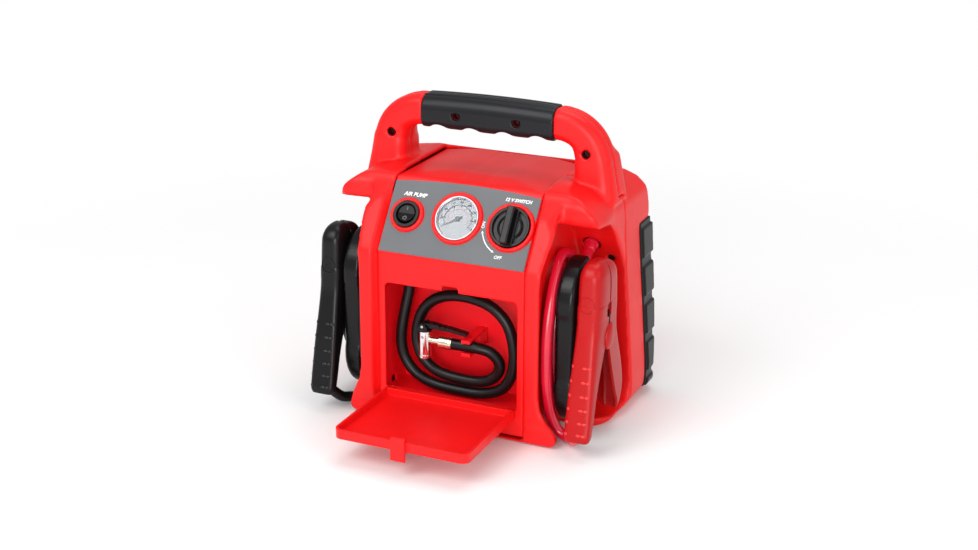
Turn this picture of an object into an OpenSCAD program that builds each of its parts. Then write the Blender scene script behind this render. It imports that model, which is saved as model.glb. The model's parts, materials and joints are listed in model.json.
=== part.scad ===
// Jump starter pack with an air compressor: a hollow two-part housing with a carrying
// handle, a hose bay behind a drop-down door, a sloping control panel, two cable
// recesses with sprung clamps, and the battery and compressor inside.
// Frame: origin at the centre of the footprint on the floor, X right, Y back, Z up.

/* [Housing] */
// Depth of the housing, front face to back face
depth = 171; // [160:1:185]
// Half width of the body between the two cable recesses
core_half = 79; // [77:0.5:84]
// Half width of the rear wings at their widest
wing_half = 132; // [128:1:138]
// Height where the upright front ends and the control slope starts
break_z = 157; // [153:1:165]
// Length of the control slope
slope_len = 72; // [70:0.5:80]
// Angle of the control slope back from upright
slope_tilt = 34.6; // [28:0.2:38]
// Wall thickness of the housing
wall = 2.6; // [2:0.1:3.4]
// Height of the flat floor ledge in each cable recess
ledge_z = 8; // [6:0.5:9]

/* [Handle] */
// Height of the top of the handle above the floor
handle_top = 279; // [270:1:300]
// Thickness of the handle seen from the front
handle_thick = 28; // [24:0.5:32]
// Depth of the handle, front to back
handle_depth = 28.8; // [26:0.2:32]
// Half length of the black grip
grip_half = 63; // [50:1:66]
// Diameter of the screw recesses in the handle
screw_well_d = 8; // [6.5:0.1:9]

/* [Hose bay and door] */
// Width of the panel left at each side of the bay opening
bay_strip = 6.4; // [4.6:0.1:10]
// Height of the bay opening
bay_h = 99; // [95:1:106]
// Height of the sill under the opening
sill_z = 29.7; // [28:0.1:33]
// Depth of the bay behind the front face
bay_depth = 46; // [42:1:52]
// Gap all round between the door and the opening
door_gap = 1; // [0.6:0.1:1.6]
// Thickness of the door with its rim
door_thick = 8.5; // [7:0.1:9]
// Thickness of the door panel and of its rim
door_skin = 2.4; // [1.8:0.1:3]
// Diameter of the door hinge pins
hinge_pin_d = 3; // [2.4:0.1:3.6]
// Width of the door latch
latch_w = 13; // [10:0.5:18]

/* [Controls] */
// Diameter of the rocker switch bezel
rocker_d = 24; // [20:0.5:26]
// Diameter of the gauge dial
dial_d = 39.6; // [34:0.2:42]
// Diameter of the safety switch knob
knob_d = 36; // [32:0.5:38]
// Height of the knob above its seat
knob_h = 11; // [8:0.5:14]
// Width of the raised collar round each control
collar_w = 3.6; // [2.6:0.1:4.2]
// Height of the raised collars above the slope
collar_h = 2.6; // [1.6:0.1:4]
// Thickness of the label plate
label_t = 0.8; // [0.5:0.1:1.2]

/* [Cables and clamps] */
// Diameter of the jumper cables
cable_d = 9.5; // [8:0.5:10]
// Width of the cable hub rim
hub_rim_w = 17.5; // [14:0.5:18]
// Length of a clamp from the pivot to the top of its head
head_len = 68; // [60:1:74]
// Length of a clamp from the pivot to the handle ends
lever_len = 84; // [76:1:88]
// Width of a clamp across its jaws
clamp_w = 23.4; // [20:0.2:25]
// Wall thickness of the clamp handles
clamp_wall = 2.4; // [1.8:0.1:3.2]
// Diameter of the clamp pivot pin
clamp_pin_d = 5; // [4:0.1:6]

/* [Air hose and chuck] */
// Diameter of the air hose
hose_d = 10; // [8:0.5:10.5]
// Diameter of the chrome chuck sleeve
chuck_d = 11; // [9.5:0.1:12]
// Length of the chrome chuck sleeve
chuck_len = 25; // [22:0.5:28]

/* [Bumpers] */
// Height of the top of the rear corner bumpers
bumper_top = 166; // [140:1:172]
// How far the bumper lugs stand proud of the bumper
lug_proud = 2.4; // [1.4:0.1:3.4]
// Number of lugs on each bumper
lug_count = 4; // [3:1:5]

/* [Inside] */
// Gap at each end of the sealed battery, to the side walls of the core
battery_gap = 0.9; // [0.5:0.1:6]
// Depth of the sealed battery
battery_w = 98; // [80:1:99]
// Height of the sealed battery case
battery_h = 94; // [80:1:98]
// Diameter of the compressor motor
motor_d = 42; // [34:1:46]
// Length of the compressor motor
motor_len = 62; // [50:1:66]
// Teeth on the motor pinion
pinion_teeth = 12; // [10:1:14]
// Teeth on the compressor drive gear
gear_teeth = 48; // [40:1:52]
// Tooth module of the compressor gears
gear_module = 1; // [0.8:0.05:1.1]

/* [Hidden] */
$fn = 48;

red = "#e8141a";
dark_red = "#b4101c";
black = "#26282a";
grey = "#808284";
steel = "#c8cacc";
copper = "#b87333";

// Places of the main faces
front_y = -depth / 2;
rear_y = depth / 2;
slope_top_y = front_y + slope_len * sin(slope_tilt);
slope_top_z = break_z + slope_len * cos(slope_tilt);
deck_z = slope_top_z + 3;
deck_back_y = 56;
edge_r = 4;
camber = 6;
panel_half = core_half - 9.6;
panel_gap = 0.2;
panel_inset = 1;
lip = 2.2;
band_depth = 8;
band_back_y = front_y + band_depth;
split_y = 18.5;
jog_z = slope_top_z - 12;
far = 400;

// Handle
handle_y = 4.2;
bar_z = handle_top - handle_thick / 2;
bend_r = 34;
post_lean = 10;
bend_x = grip_half + 2;
post_x = bend_x + bend_r + 1.5;
post_base_z = jog_z - 4;

// Hose bay and door
bay_w = 2 * (panel_half - bay_strip);
hinge_back = 4;
door_near = hinge_back + 0.4;
hinge_y = front_y + hinge_back;
hinge_z = sill_z + door_gap - door_near;
door_half = bay_w / 2 - door_gap;
door_len = bay_h - 2 * door_gap;
arm_x = door_half - 6;
arm_w = 4;
arm_r = 3.2;
sill_back_y = hinge_y + 4.5;
sill_low_z = hinge_z - 6;
bay_top_z = sill_z + bay_h;
bay_side = bay_w / 2 + 3;
bay_floor_z = sill_z - 5.7;
bay_ceiling_z = bay_top_z + 4.5;
bay_back_y = front_y + bay_depth;
bay_wall = 2;
latch_reach = 3.2;

// Controls: x across and s up the slope
rocker_at = [19.9 - panel_half, 36];
gauge_at = [-2.4, 38.7];
knob_at = [panel_half - 21.7, 37.2];
fit_gap = 0.25;
rocker_tilt = 8;
rocker_r = rocker_d / 2 - 3.4;
dial_r = dial_d / 2;
knob_r = knob_d / 2;

// Cable recess and hub
recess_back_y = 17;
ledge_front_y = -27;
hood_z = slope_top_z - 21.8;
arch_z = hood_z - 57;
hub_y = -39;
hub_r = 37;
hub_low_z = 50;
hub_high_z = 126;
hub_core_high_z = 108;
hub_core_r = 12;
hub_back = 4;
hub_x = core_half + cable_d + 4.4;
hub_out_x = hub_x + hub_rim_w;
gland_tilt = atan2(8, 14);
gland_at = [core_half + 15.5, 6.8, hood_z - 35.9];
gland_len = 8;
gland_d = cable_d + 5;

// Clamps: the pivot, in the frame of the whole object
clamp_x = hub_out_x + 0.8 + clamp_w / 2;
clamp_y = -52;
clamp_z = 100;
seam = 1.2;
ear_r = 9.4;
tab_low = 12;
tab_high = 20;
clamp_open = 14;

// Air hose and chuck
gland_top = [11 - bay_w / 2, -58];
hose_y = -64;
hose_gland_len = 6;
clip_at = [12, -71.7, 76.4];
chuck_y = -72;
chuck_x = -30;
chuck_low_z = 60;
chuck_high_z = chuck_low_z + chuck_len;
lever_rise = 5;
lever_z = chuck_high_z + lever_rise;

// Bumpers
bumper_t = 2;
bumper_y = 57;
bumper_low = 8;
bumper_in_x = wing_half - 26;

// Inside
battery_l = 2 * (core_half - wall - battery_gap);
battery_y0 = bay_back_y + bay_wall + 2.4;
floor_t = wall;
motor_y = 40;
motor_z = floor_t + battery_h + 13 + motor_d / 2;
gear_gap = gear_module * (pinion_teeth + gear_teeth) / 2;
case_x = 12;
case_w = 28;
gear_x = case_x + case_w + 1.5;
gear_w = 7;

// Routes. Air hose: from its gland down round the coil to the ferrule
hose_route = [
    [gland_top[0], gland_top[1], bay_ceiling_z - hose_gland_len], [-52, -58, 117],
    [-54.5, -60.5, 100], [-57, -63, 82], [-57.4, -64, 66], [-53.5, -64, 51.5], [-43, -64, 39.2],
    [-26, -64, 32], [0, -64, 29.9], [24, -64, 31.2], [42, -64, 39.5], [50.8, -64, 57],
    [51.6, -64, 78], [45, -63.6, 99.5], [28.5, -62.8, 113.5], [4, -62.4, 118.4], [-19, -62.4, 114.5],
    [-35.5, -62.4, 101], [-42.6, -62.8, 78], [-37.5, -63.6, 57.2], [-22, -64, 44.6], [1.5, -64, 40.9],
    [23, -64, 42.4], [35.5, -64, 50.5], [38.6, -65, 62.5], [31.5, -68, 72.6], [20, -71, 76],
    [8, chuck_y, 76.5], [-3, chuck_y, 76.5]
];
// Cable: X is counted from the side wall of the core; from the gland to below the clamp
cable_route = [
    [13.9, -17.5, 144], [10.9, -27, 140.6], [8.4, -38, 136], [8.4, -49, 126],
    [8.4, -57.5, 110], [8.4, -61.3, 88], [8.4, -60, 64], [8.4, -52.5, 44.5], [8.2, -39, 33.5],
    [7.7, -22, 31], [7, -8, 39.5], [6, 0, 56], [5.2, 3, 80], [5.2, 3, 108], [5.2, -1, 131],
    [5.2, -10.5, 148], [5.2, -25, 158.5], [6, -41, 161], [8, -56.5, 151], [8.9, -68.5, 134],
    [8.9, -76, 112], [8.9, -78.6, 88], [8.9, -77.6, 62], [8.9, -72.3, 40], [9.6, -68.3, 25.5],
    [13.6, -66, 13], [20.5, -65.8, 6.6], [28.5, -69.2, 5.9], [34.8, -76.8, 8.6]
];
// Where the cable leaves the handle of its clamp, from the clamp pivot, and its lean there
exit_at = [1, -40.5, -72 * lever_len / 84];
exit_turn = [0, 140, 125];
exit_dir = [sin(140) * cos(125), sin(140) * sin(125), cos(140)];
exit_start = [clamp_x, clamp_y, clamp_z] + exit_at;
gland_dir = [0, -cos(gland_tilt), -sin(gland_tilt)];
gland_end = gland_at + gland_len * gland_dir;
cable_points = concat(
    [gland_end, gland_end + 11 * gland_dir],
    [for (p = cable_route) [core_half + p[0], p[1], p[2]]],
    [exit_start + 9 * exit_dir, exit_start]
);

// ---- helpers ----

function unit(v) = v / norm(v);
function heading(p, i) = unit(p[min(i + 1, len(p) - 1)] - p[max(i - 1, 0)]);

// A flexible tube along a list of points; the side axis is never along the tube
module tube(points, d, side_axis) {
    sides = 10;
    count = len(points);
    rings = [for (i = [0 : count - 1])
        let (t = heading(points, i), u = unit(cross(side_axis, t)), v = cross(t, u))
        for (k = [0 : sides - 1]) points[i] + d / 2 * (cos(360 * k / sides) * u + sin(360 * k / sides) * v)];
    polyhedron(rings, concat(
        [[for (k = [0 : sides - 1]) sides - 1 - k]],
        [for (i = [0 : count - 2], k = [0 : sides - 1]) let (a = i * sides + k, b = i * sides + (k + 1) % sides)
            each [[a, b, b + sides], [a, b + sides, a + sides]]],
        [[for (k = [0 : sides - 1]) (count - 1) * sides + k]]
    ));
}

// Extrudes a side view (Y, Z) across X
module side_extrude(x0, x1) {
    translate([x0, 0, 0]) rotate([90, 0, 90]) linear_extrude(x1 - x0) children();
}

// Extrudes a front view (X, Z) along Y
module front_extrude(y0, y1) {
    translate([0, y1, 0]) rotate([90, 0, 0]) linear_extrude(y1 - y0) children();
}

// Extrudes a plan view (X, Y) up Z
module plan_extrude(z0, z1) {
    translate([0, 0, z0]) linear_extrude(z1 - z0) children();
}

module both_sides() {
    children();
    mirror([1, 0, 0]) children();
}

// Rounds the outward corners of a flat outline
module soften(r) {
    offset(r, $fn = 24) offset(delta = -r) children();
}

module rounded_rect(w, h, r) {
    soften(r) square([w, h], center = true);
}

// Puts its children on the control slope: x across, s up, local Z out of the slope
module on_slope(at) {
    translate([at[0], front_y + at[1] * sin(slope_tilt), break_z + at[1] * cos(slope_tilt)])
        rotate([90 - slope_tilt, 0, 0])
        children();
}

// ---- housing outlines ----

// Side view of the body
module body_side() {
    soften(edge_r) polygon([
        [front_y, 0], [front_y, break_z], [slope_top_y, slope_top_z],
        [slope_top_y + 22, deck_z], [deck_back_y, deck_z],
        [rear_y - 8, deck_z - 14], [rear_y, deck_z - 40], [rear_y, 0]
    ]);
}

// Front view of the front frame: upright bands that flare into a foot and a hood
module frame_front() {
    b = core_half + 3;
    mirror_outline([
        [0, 0], [b + 12, 0], [b + 17, 3], [b + 18, 9], [b + 14, 17], [b + 7, 26], [b + 2, 36],
        [b, 48], [b, break_z - 14], [b + 1, break_z], [b + 3, break_z + 14], [b + 5, hood_z - 8],
        [b + 7, deck_z], [0, deck_z]
    ]);
}

// Front view of the rear wings
module wing_front() {
    soften(12) mirror_outline([
        [0, 0], [wing_half - 12, 0], [wing_half, 12], [wing_half, 32], [wing_half - 4.5, 90],
        [wing_half - 8, 130], [wing_half - 10.5, 165], [wing_half - 12, hood_z + 2],
        [wing_half - 29, slope_top_z - 2], [0, deck_z + 14]
    ]);
}

// Plan of the hoods and wings
module wing_plan() {
    soften(14) mirror_outline([
        [0, slope_top_y - 5], [core_half + 20, slope_top_y - 5], [wing_half - 8, slope_top_y],
        [wing_half - 2, slope_top_y + 18], [wing_half, 20], [wing_half, rear_y - 6],
        [wing_half - 6, rear_y], [0, rear_y]
    ]);
}

// Plan of the floor ledges
module ledge_plan() {
    soften(18) mirror_outline([
        [0, ledge_front_y], [wing_half - 20, ledge_front_y], [wing_half, ledge_front_y + 18],
        [wing_half, rear_y], [0, rear_y]
    ]);
}

// Side view of the cable recess
module recess_side() {
    polygon([
        [band_back_y, -5], [band_back_y, hood_z], [slope_top_y + 6, hood_z],
        [-31, hood_z - 1.8], [-22, hood_z - 5.2], [-13.5, hood_z - 10.6], [-6, hood_z - 17],
        [0, hood_z - 24], [8, hood_z - 38], [14, arch_z + 8], [recess_back_y - 0.8, arch_z],
        [recess_back_y, arch_z - 8], [recess_back_y, ledge_z + 20],
        [recess_back_y - 1.6, ledge_z + 12], [recess_back_y - 5, ledge_z + 5.5],
        [recess_back_y - 11, ledge_z + 1.5], [recess_back_y - 20, ledge_z],
        [ledge_front_y, ledge_z], [ledge_front_y, -5]
    ]);
}

// Draws an outline given for the right half on both sides of X = 0
module mirror_outline(points) {
    union() {
        polygon(points);
        mirror([1, 0]) polygon(points);
    }
}

// Hoods, rear wings and ledges as one block
module wing_block(grow = 0) {
    intersection() {
        front_extrude(slope_top_y - 20, rear_y + grow) offset(delta = grow) wing_front();
        side_extrude(-far, far) offset(delta = grow) body_side();
        plan_extrude(0, far) offset(delta = grow) wing_plan();
    }
}

module recess_cut() {
    both_sides() side_extrude(core_half, wing_half + 20) recess_side();
    plan_extrude(-5, ledge_z) difference() {
        mirror_outline([
            [core_half, ledge_front_y - 1], [wing_half + 20, ledge_front_y - 1],
            [wing_half + 20, 30], [core_half, 30]
        ]);
        ledge_plan();
    }
}

// The strip of the body behind its front face, seen from the side
module front_strip() {
    difference() {
        body_side();
        translate([band_depth, 0]) body_side();
    }
}

// The slanted flank between each band and the side wall of the recess
module band_flank() {
    both_sides() plan_extrude(0.5, break_z) polygon([
        [core_half - 3, front_y + 6], [core_half + 2.7, front_y + 6],
        [core_half + 2.7, band_back_y], [core_half, band_back_y + 10], [core_half - 3, band_back_y + 10]
    ]);
}

// All that lies under the slight camber of the deck
module cambered(inset) {
    r = (core_half * core_half + camber * camber) / (2 * camber);
    front_extrude(-far, far) translate([0, deck_z + 0.8 - r]) circle(r = r - inset);
}

// The outer form of the housing without the handle
module body_solid() {
    difference() {
        side_extrude(-core_half, core_half) body_side();
        difference() {
            plan_extrude(slope_top_z - 30, far) square([2 * panel_half + 2 * panel_gap, far], center = true);
            cambered(0);
        }
    }
    intersection() {
        front_extrude(front_y - 1, deck_back_y) soften(3) frame_front();
        side_extrude(-far, far) front_strip();
    }
    band_flank();
    difference() {
        wing_block();
        recess_cut();
    }
}

// ---- handle ----

// Section of the handle: thickness across, depth along Y
module handle_section(shrink = 0) {
    soften(9) square([handle_thick - 2 * shrink, handle_depth - 2 * shrink], center = true);
}

// The bar, its two bends and its two posts
module handle_bar(shrink = 0) {
    translate([-bend_x, handle_y, bar_z]) rotate([0, 90, 0])
        linear_extrude(2 * bend_x) handle_section(shrink);
    both_sides() translate([bend_x, handle_y, bar_z - bend_r]) {
        rotate([90, 0, 0]) rotate_extrude(angle = 90 - post_lean, start = post_lean)
            translate([bend_r, 0]) handle_section(shrink);
    }
}

// A section across the handle where the bend has turned by an angle from upright
module at_bend(angle, out) {
    translate([bend_x, handle_y, bar_z - bend_r]) rotate([0, -angle, 0])
        translate([bend_r + out, 0, 0]) linear_extrude(1) children();
}

// The posts deepen and widen from the bends down to the shoulders of the housing
module handle_posts() {
    both_sides() {
        hull() {
            at_bend(52, 0) handle_section(1.2);
            at_bend(post_lean - 1, -1.6) translate([0, 4.5]) rounded_rect(handle_thick + 3.6, handle_depth + 8, 9);
        }
        hull() {
            at_bend(post_lean, -1.6) translate([0, 4.6]) rounded_rect(handle_thick + 4.8, handle_depth + 10, 9);
            translate([post_x, handle_y + 5.6, post_base_z]) linear_extrude(1)
                rounded_rect(handle_thick + 12, handle_depth + 14, 11);
        }
    }
}

// The wells of the handle screws, seen from the front
handle_screws_at = [for (x = [-1, 1]) each [[x * 93, 243], [x * 28.7, bar_z - 1]]];

module handle_wells() {
    for (p = handle_screws_at) {
        front_extrude(handle_y - far, handle_y - 5) translate(p) circle(d = screw_well_d);
        front_extrude(handle_y - 6, handle_y + 9) translate(p) circle(d = 3.2);
    }
}

// The space of the grip sleeve round the bar
module grip_space() {
    side_extrude(-grip_half, grip_half)
        translate([handle_y, bar_z]) square([handle_depth + 20, handle_thick + 20], center = true);
}

// ---- shells ----

shell_screws_at = [for (s = [-1, 1], z = [arch_z + 8, 34]) [s * (wing_half - 22), z]];

// The hollow inside of the body
module body_cavity() {
    intersection() {
        side_extrude(wall - core_half, core_half - wall) offset(delta = -wall) body_side();
        cambered(wall + panel_inset);
    }
    t = wall + bumper_t;
    difference() {
        intersection() {
            front_extrude(-40, rear_y) offset(delta = -t) wing_front();
            side_extrude(-far, far) offset(delta = -t) body_side();
            plan_extrude(0, far) offset(delta = -t) wing_plan();
        }
        both_sides() side_extrude(core_half - wall, wing_half + 20) offset(delta = wall) recess_side();
    }
}

// The zone of the front panel: the middle of the front, the slope and the deck
module panel_zone(half) {
    side_extrude(-half, half) polygon([
        [front_y - 5, wall], [front_y - 5, far], [deck_back_y, far], [deck_back_y, deck_z - 14],
        [slope_top_y + 20, deck_z - 14], [front_y + 20, break_z - 10], [front_y + 20, wall]
    ]);
}

// The rebate behind the edges of the front panel
module panel_ledges() {
    both_sides() side_extrude(panel_half - 1.2, core_half - 1) intersection() {
        difference() {
            offset(delta = -wall - panel_inset) body_side();
            offset(delta = -wall - panel_inset - 2) body_side();
        }
        polygon([[front_y, 1], [front_y, far], [slope_top_y - 6, far], [slope_top_y - 6, break_z],
            [front_y + 22, break_z], [front_y + 22, 1]]);
    }
}

// What belongs to the front half: in front of the split, which jogs to the handle's middle
module front_region() {
    side_extrude(-far, far) polygon([
        [-far, -5], [-far, far], [handle_y, far], [handle_y, jog_z], [split_y, jog_z], [split_y, -5]
    ]);
}

module bumper_zone() {
    both_sides() plan_extrude(bumper_low, bumper_top)
        translate([bumper_in_x, bumper_y]) square([60, 60]);
}

// The recess that a bumper sits in
module bumper_pocket() {
    intersection() {
        bumper_zone();
        difference() {
            wing_block(2);
            wing_block(-bumper_t);
        }
    }
}

module gland_axis(side) {
    translate([side * gland_at[0], gland_at[1], gland_at[2]]) rotate([90 + gland_tilt, 0, 0])
        children();
}

module housing() {
    difference() {
        union() {
            difference() {
                body_solid();
                body_cavity();
                panel_zone(panel_half + panel_gap);
            }
            panel_ledges();
            handle_bar();
            handle_posts();
            shell_bosses();
            board_posts(6, rear_y - wall - 8);
        }
        difference() {
            grip_space();
            handle_bar(3);
        }
        handle_wells();
        bumper_pocket();
        for (side = [-1, 1]) gland_axis(side) cylinder(d = gland_d, h = 40, center = true);
        for (p = shell_screws_at) {
            front_extrude(recess_back_y - 30, recess_back_y + 3) translate(p) circle(d = 7);
            front_extrude(recess_back_y, recess_back_y + 18) translate(p) circle(d = 3.2);
        }
    }
}

// Screw bosses that join the shells behind the recess walls
module shell_bosses() {
    for (p = shell_screws_at)
        front_extrude(recess_back_y - 0.5, rear_y - 1) translate(p) circle(d = 12);
}

module front_shell() {
    color(red) intersection() {
        housing();
        front_region();
    }
}

module rear_shell() {
    color(red) difference() {
        housing();
        front_region();
    }
}

module grip_sleeve() {
    difference() {
        intersection() {
            side_extrude(-grip_half + 0.3, grip_half - 0.3) translate([handle_y, bar_z + 0.6]) soften(9)
                square([handle_depth + 3.2, handle_thick + 3], center = true);
            front_extrude(handle_y - 40, handle_y + 40) difference() {
                translate([-grip_half, bar_z - 20]) square([2 * grip_half, 60]);
                for (i = [-1.5 : 1.5]) translate([i * grip_half * 0.5, bar_z - handle_thick / 2 - 18])
                    circle(r = 20);
            }
        }
        handle_bar(2.9);
        handle_wells();
    }
    side_extrude(-grip_half + 4, grip_half - 4)
        translate([handle_y, bar_z + handle_thick / 2 + 2]) rounded_rect(9, 1.6, 0.7);
}

module grip_front() {
    color(black) intersection() {
        grip_sleeve();
        side_extrude(-far, far) translate([handle_y - 60, 0]) square([60, far]);
    }
}

module grip_rear() {
    color(black) intersection() {
        grip_sleeve();
        side_extrude(-far, far) translate([handle_y, 0]) square([60, far]);
    }
}

module screw_pan(d, l) {
    cylinder(d = d, h = l);
    cylinder(d = 2 * d, h = 2.2);
}

module handle_screws() {
    color(steel) for (p = handle_screws_at)
        translate([p[0], handle_y - 7.2, p[1]]) rotate([-90, 0, 0]) difference() {
            screw_pan(3, 15);
            translate([0, 0, -0.1]) linear_extrude(1.2) square([0.8, 4], center = true);
            translate([0, 0, -0.1]) linear_extrude(1.2) square([4, 0.8], center = true);
        }
}

module shell_screws() {
    color(steel) for (p = shell_screws_at)
        translate([p[0], recess_back_y + 0.8, p[1]]) rotate([-90, 0, 0]) difference() {
            screw_pan(3, 16);
            translate([0, 0, -0.1]) linear_extrude(1.2) square([0.8, 4], center = true);
            translate([0, 0, -0.1]) linear_extrude(1.2) square([4, 0.8], center = true);
        }
}

// ---- front panel, bay and door ----

module opening_front(grow = 0) {
    translate([0, sill_z + bay_h / 2]) union() {
        offset(delta = grow) soften(5) square([bay_w, bay_h], center = true);
        translate([0, -bay_h / 4]) square([bay_w + 2 * grow, bay_h / 2 + 2 * grow], center = true);
    }
}

module control_holes(extra, depth, top) {
    for (c = [[rocker_at, rocker_r + 2], [gauge_at, dial_r], [knob_at, knob_r]])
        on_slope(c[0]) translate([0, 0, -depth]) cylinder(r = c[1] + extra, h = depth + top);
}

module collars() {
    for (c = [[rocker_at, rocker_d / 2], [gauge_at, dial_r], [knob_at, knob_r]])
        on_slope(c[0]) translate([0, 0, -panel_inset - wall])
            cylinder(r = c[1] + collar_w, h = panel_inset + wall + collar_h);
}

module label_outline() {
    half = panel_half - 0.8;
    rise = 4;
    arch_r = (half * half + rise * rise) / (2 * rise);
    intersection() {
        translate([-half, 1]) square([2 * half, slope_len]);
        translate([0, slope_len - 2 - arch_r]) circle(r = arch_r, $fn = 360);
    }
}

module panel_wall() {
    difference() {
        intersection() {
            side_extrude(-panel_half, panel_half) offset(delta = -panel_inset) body_side();
            cambered(panel_inset);
            side_extrude(-far, far) polygon([
                [front_y - 5, 6], [front_y - 5, far], [deck_back_y - panel_gap, far],
                [deck_back_y - panel_gap, deck_z - 12], [slope_top_y + 18, deck_z - 12],
                [front_y + 18, break_z - 10], [front_y + 18, 6]
            ]);
        }
        intersection() {
            side_extrude(-far, far) offset(delta = -panel_inset - wall) body_side();
            cambered(panel_inset + wall);
        }
    }
}

module hinge_slots() {
    both_sides() side_extrude(arm_x - 0.4, arm_x + arm_w + 0.4) union() {
        translate([front_y - 5, hinge_z - arm_r - 0.5]) square([hinge_back + 5 + arm_r + 0.5, 30]);
    }
}

// Takes the front edge off the sill, where the near edge of the door swings past
module sill_bevel() {
    y = front_y + panel_inset;
    side_extrude(-door_half - 0.3, door_half + 0.3)
        polygon([[y - 1, sill_z - 2.5], [y + 2.5, sill_z + 1], [y - 1, sill_z + 1]]);
}

module front_panel() {
    color(red) difference() {
        union() {
            difference() {
                panel_wall();
                on_slope([0, 0]) translate([0, 0, -panel_inset]) linear_extrude(9) label_outline();
                front_extrude(front_y - 5, front_y + 12) difference() {
                    opening_front();
                    translate([-far, 0]) square([2 * far, sill_low_z + 1]);
                }
                front_extrude(front_y - 5, front_y + 12)
                    translate([-latch_w / 2 - 1, bay_top_z - 1]) square([latch_w + 2, latch_reach + 2.4]);
            }
            collars();
            side_extrude(-bay_side, bay_side)
                translate([front_y + panel_inset, sill_low_z])
                square([sill_back_y - front_y - panel_inset, sill_z - sill_low_z]);
        }
        control_holes(0.2, 12, 20);
        on_slope(rocker_at) translate([0, 0, collar_h - 1.8]) cylinder(r = rocker_d / 2 + 0.2, h = 9);
        sill_bevel();
        hinge_slots();
        both_sides() translate([arm_x - 5, hinge_y, hinge_z]) rotate([0, 90, 0])
            cylinder(d = hinge_pin_d + 0.04, h = arm_w + 9);
    }
}

// The bay keeps the coiled hose; its clip holds the hose end

module hose_bay() {
    y0 = front_y + panel_inset + wall + 0.1;
    color(dark_red) difference() {
        union() {
            side_extrude(-bay_side - bay_wall, bay_side + bay_wall) polygon([
                [y0, bay_floor_z - bay_wall], [y0, bay_ceiling_z + bay_wall],
                [bay_back_y + bay_wall, bay_ceiling_z + bay_wall],
                [bay_back_y + bay_wall, bay_floor_z - bay_wall]
            ]);
        }
        side_extrude(-bay_side, bay_side) polygon([
            [y0 - 1, bay_floor_z], [y0 - 1, bay_ceiling_z],
            [bay_back_y, bay_ceiling_z], [bay_back_y, bay_floor_z]
        ]);
        side_extrude(-far, far) translate([y0 - 1, sill_low_z - 0.2])
            square([sill_back_y + 0.2 - y0 + 1, sill_z - sill_low_z + 0.4]);
        both_sides() translate([arm_x - 5, hinge_y, hinge_z]) rotate([0, 90, 0])
            cylinder(d = hinge_pin_d + 1, h = arm_w + 12);
        translate([gland_top[0], gland_top[1], bay_ceiling_z - 1]) cylinder(d = hose_d + 4, h = bay_wall + 2);
        side_extrude(-bay_side - bay_wall - 1, 1 - bay_side)
            translate([front_y + 18, bay_floor_z + 2]) square([9, 7]);
    }
    color(dark_red) hose_clip();
}

// A forked clip on the back wall of the bay
module hose_clip() {
    w = hose_d + 5;
    side_extrude(clip_at[0] - 4, clip_at[0] + 4) difference() {
        translate([clip_at[1] - hose_d / 2 - 1.5, clip_at[2] - w / 2])
            square([bay_back_y - clip_at[1] + hose_d / 2 + 1.5, w]);
        translate([clip_at[1], clip_at[2]]) circle(d = hose_d + 1);
        translate([clip_at[1] - 20, clip_at[2] - hose_d / 2 + 0.4]) square([20, hose_d - 0.8]);
        translate([clip_at[1] + hose_d / 2 + 2.5, clip_at[2] - w / 2 + 2])
            square([bay_back_y - clip_at[1] - hose_d / 2 - 4.5, w - 4]);
    }
}

// The control label, with the three controls' collars coming through it
module label_plate() {
    color(grey) on_slope([0, 0]) translate([0, 0, -panel_inset]) linear_extrude(label_t) difference() {
        offset(delta = -0.15) label_outline();
        for (c = [[rocker_at, rocker_d / 2], [gauge_at, dial_r], [knob_at, knob_r]])
            translate(c[0]) circle(r = c[1] + collar_w + 0.15);
    }
}

module door() {
    y0 = hinge_y - door_near - door_len;
    y1 = hinge_y - door_near;
    z0 = hinge_z - hinge_back;
    color(red) difference() {
        union() {
            difference() {
                plan_extrude(z0, z0 + door_thick) door_plan(y0, y1, 0);
                plan_extrude(z0 + door_skin, z0 + door_thick + 1) door_plan(y0, y1, door_skin);
            }
            both_sides() side_extrude(arm_x, arm_x + arm_w) union() {
                translate([hinge_y, hinge_z]) circle(r = arm_r);
                translate([y1 - 1, hinge_z - arm_r]) square([hinge_y - y1 + 1, 2 * arm_r]);
            }
            side_extrude(-latch_w / 2, latch_w / 2) polygon([
                [y0 + 1, z0 + door_skin], [y0 + 1, z0 + door_thick + 1],
                [y0 - 0.4, z0 + door_thick + 4], [y0 - latch_reach, z0 + door_thick + 2.5],
                [y0 - latch_reach, z0 - 8], [y0 - latch_reach + 2, z0 - 9], [y0 - 0.4, z0 - 1.5]
            ]);
        }
        both_sides() translate([arm_x - 1, hinge_y, hinge_z]) rotate([0, 90, 0])
            cylinder(d = hinge_pin_d + 0.1, h = arm_w + 2);
    }
}

module door_plan(y0, y1, inset) {
    translate([0, (y0 + y1) / 2]) offset(delta = -inset) union() {
        soften(7) square([2 * door_half, y1 - y0], center = true);
        translate([0, (y1 - y0) / 4]) square([2 * door_half, (y1 - y0) / 2], center = true);
    }
}

module door_pins() {
    color(steel) both_sides() translate([arm_x - 4.6, hinge_y, hinge_z]) rotate([0, 90, 0])
        cylinder(d = hinge_pin_d, h = arm_w + 8.4);
}

// ---- controls ----

module rocker_body() {
    color(black) on_slope(rocker_at) difference() {
        union() {
            translate([0, 0, collar_h - 1.8]) cylinder(r = rocker_d / 2, h = 2.8);
            translate([0, 0, -12]) cylinder(r = rocker_r + 1.8, h = 13);
            translate([-6, -1, -19]) cube([1.2, 5, 8]);
            translate([5, -1, -19]) cube([1.2, 5, 8]);
        }
        translate([0, 0, -10]) cylinder(r = rocker_r + 0.6, h = 20);
        translate([0, 0, -1]) rotate([0, 90, 0]) cylinder(r = 1.25, h = 30, center = true);
    }
}

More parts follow.
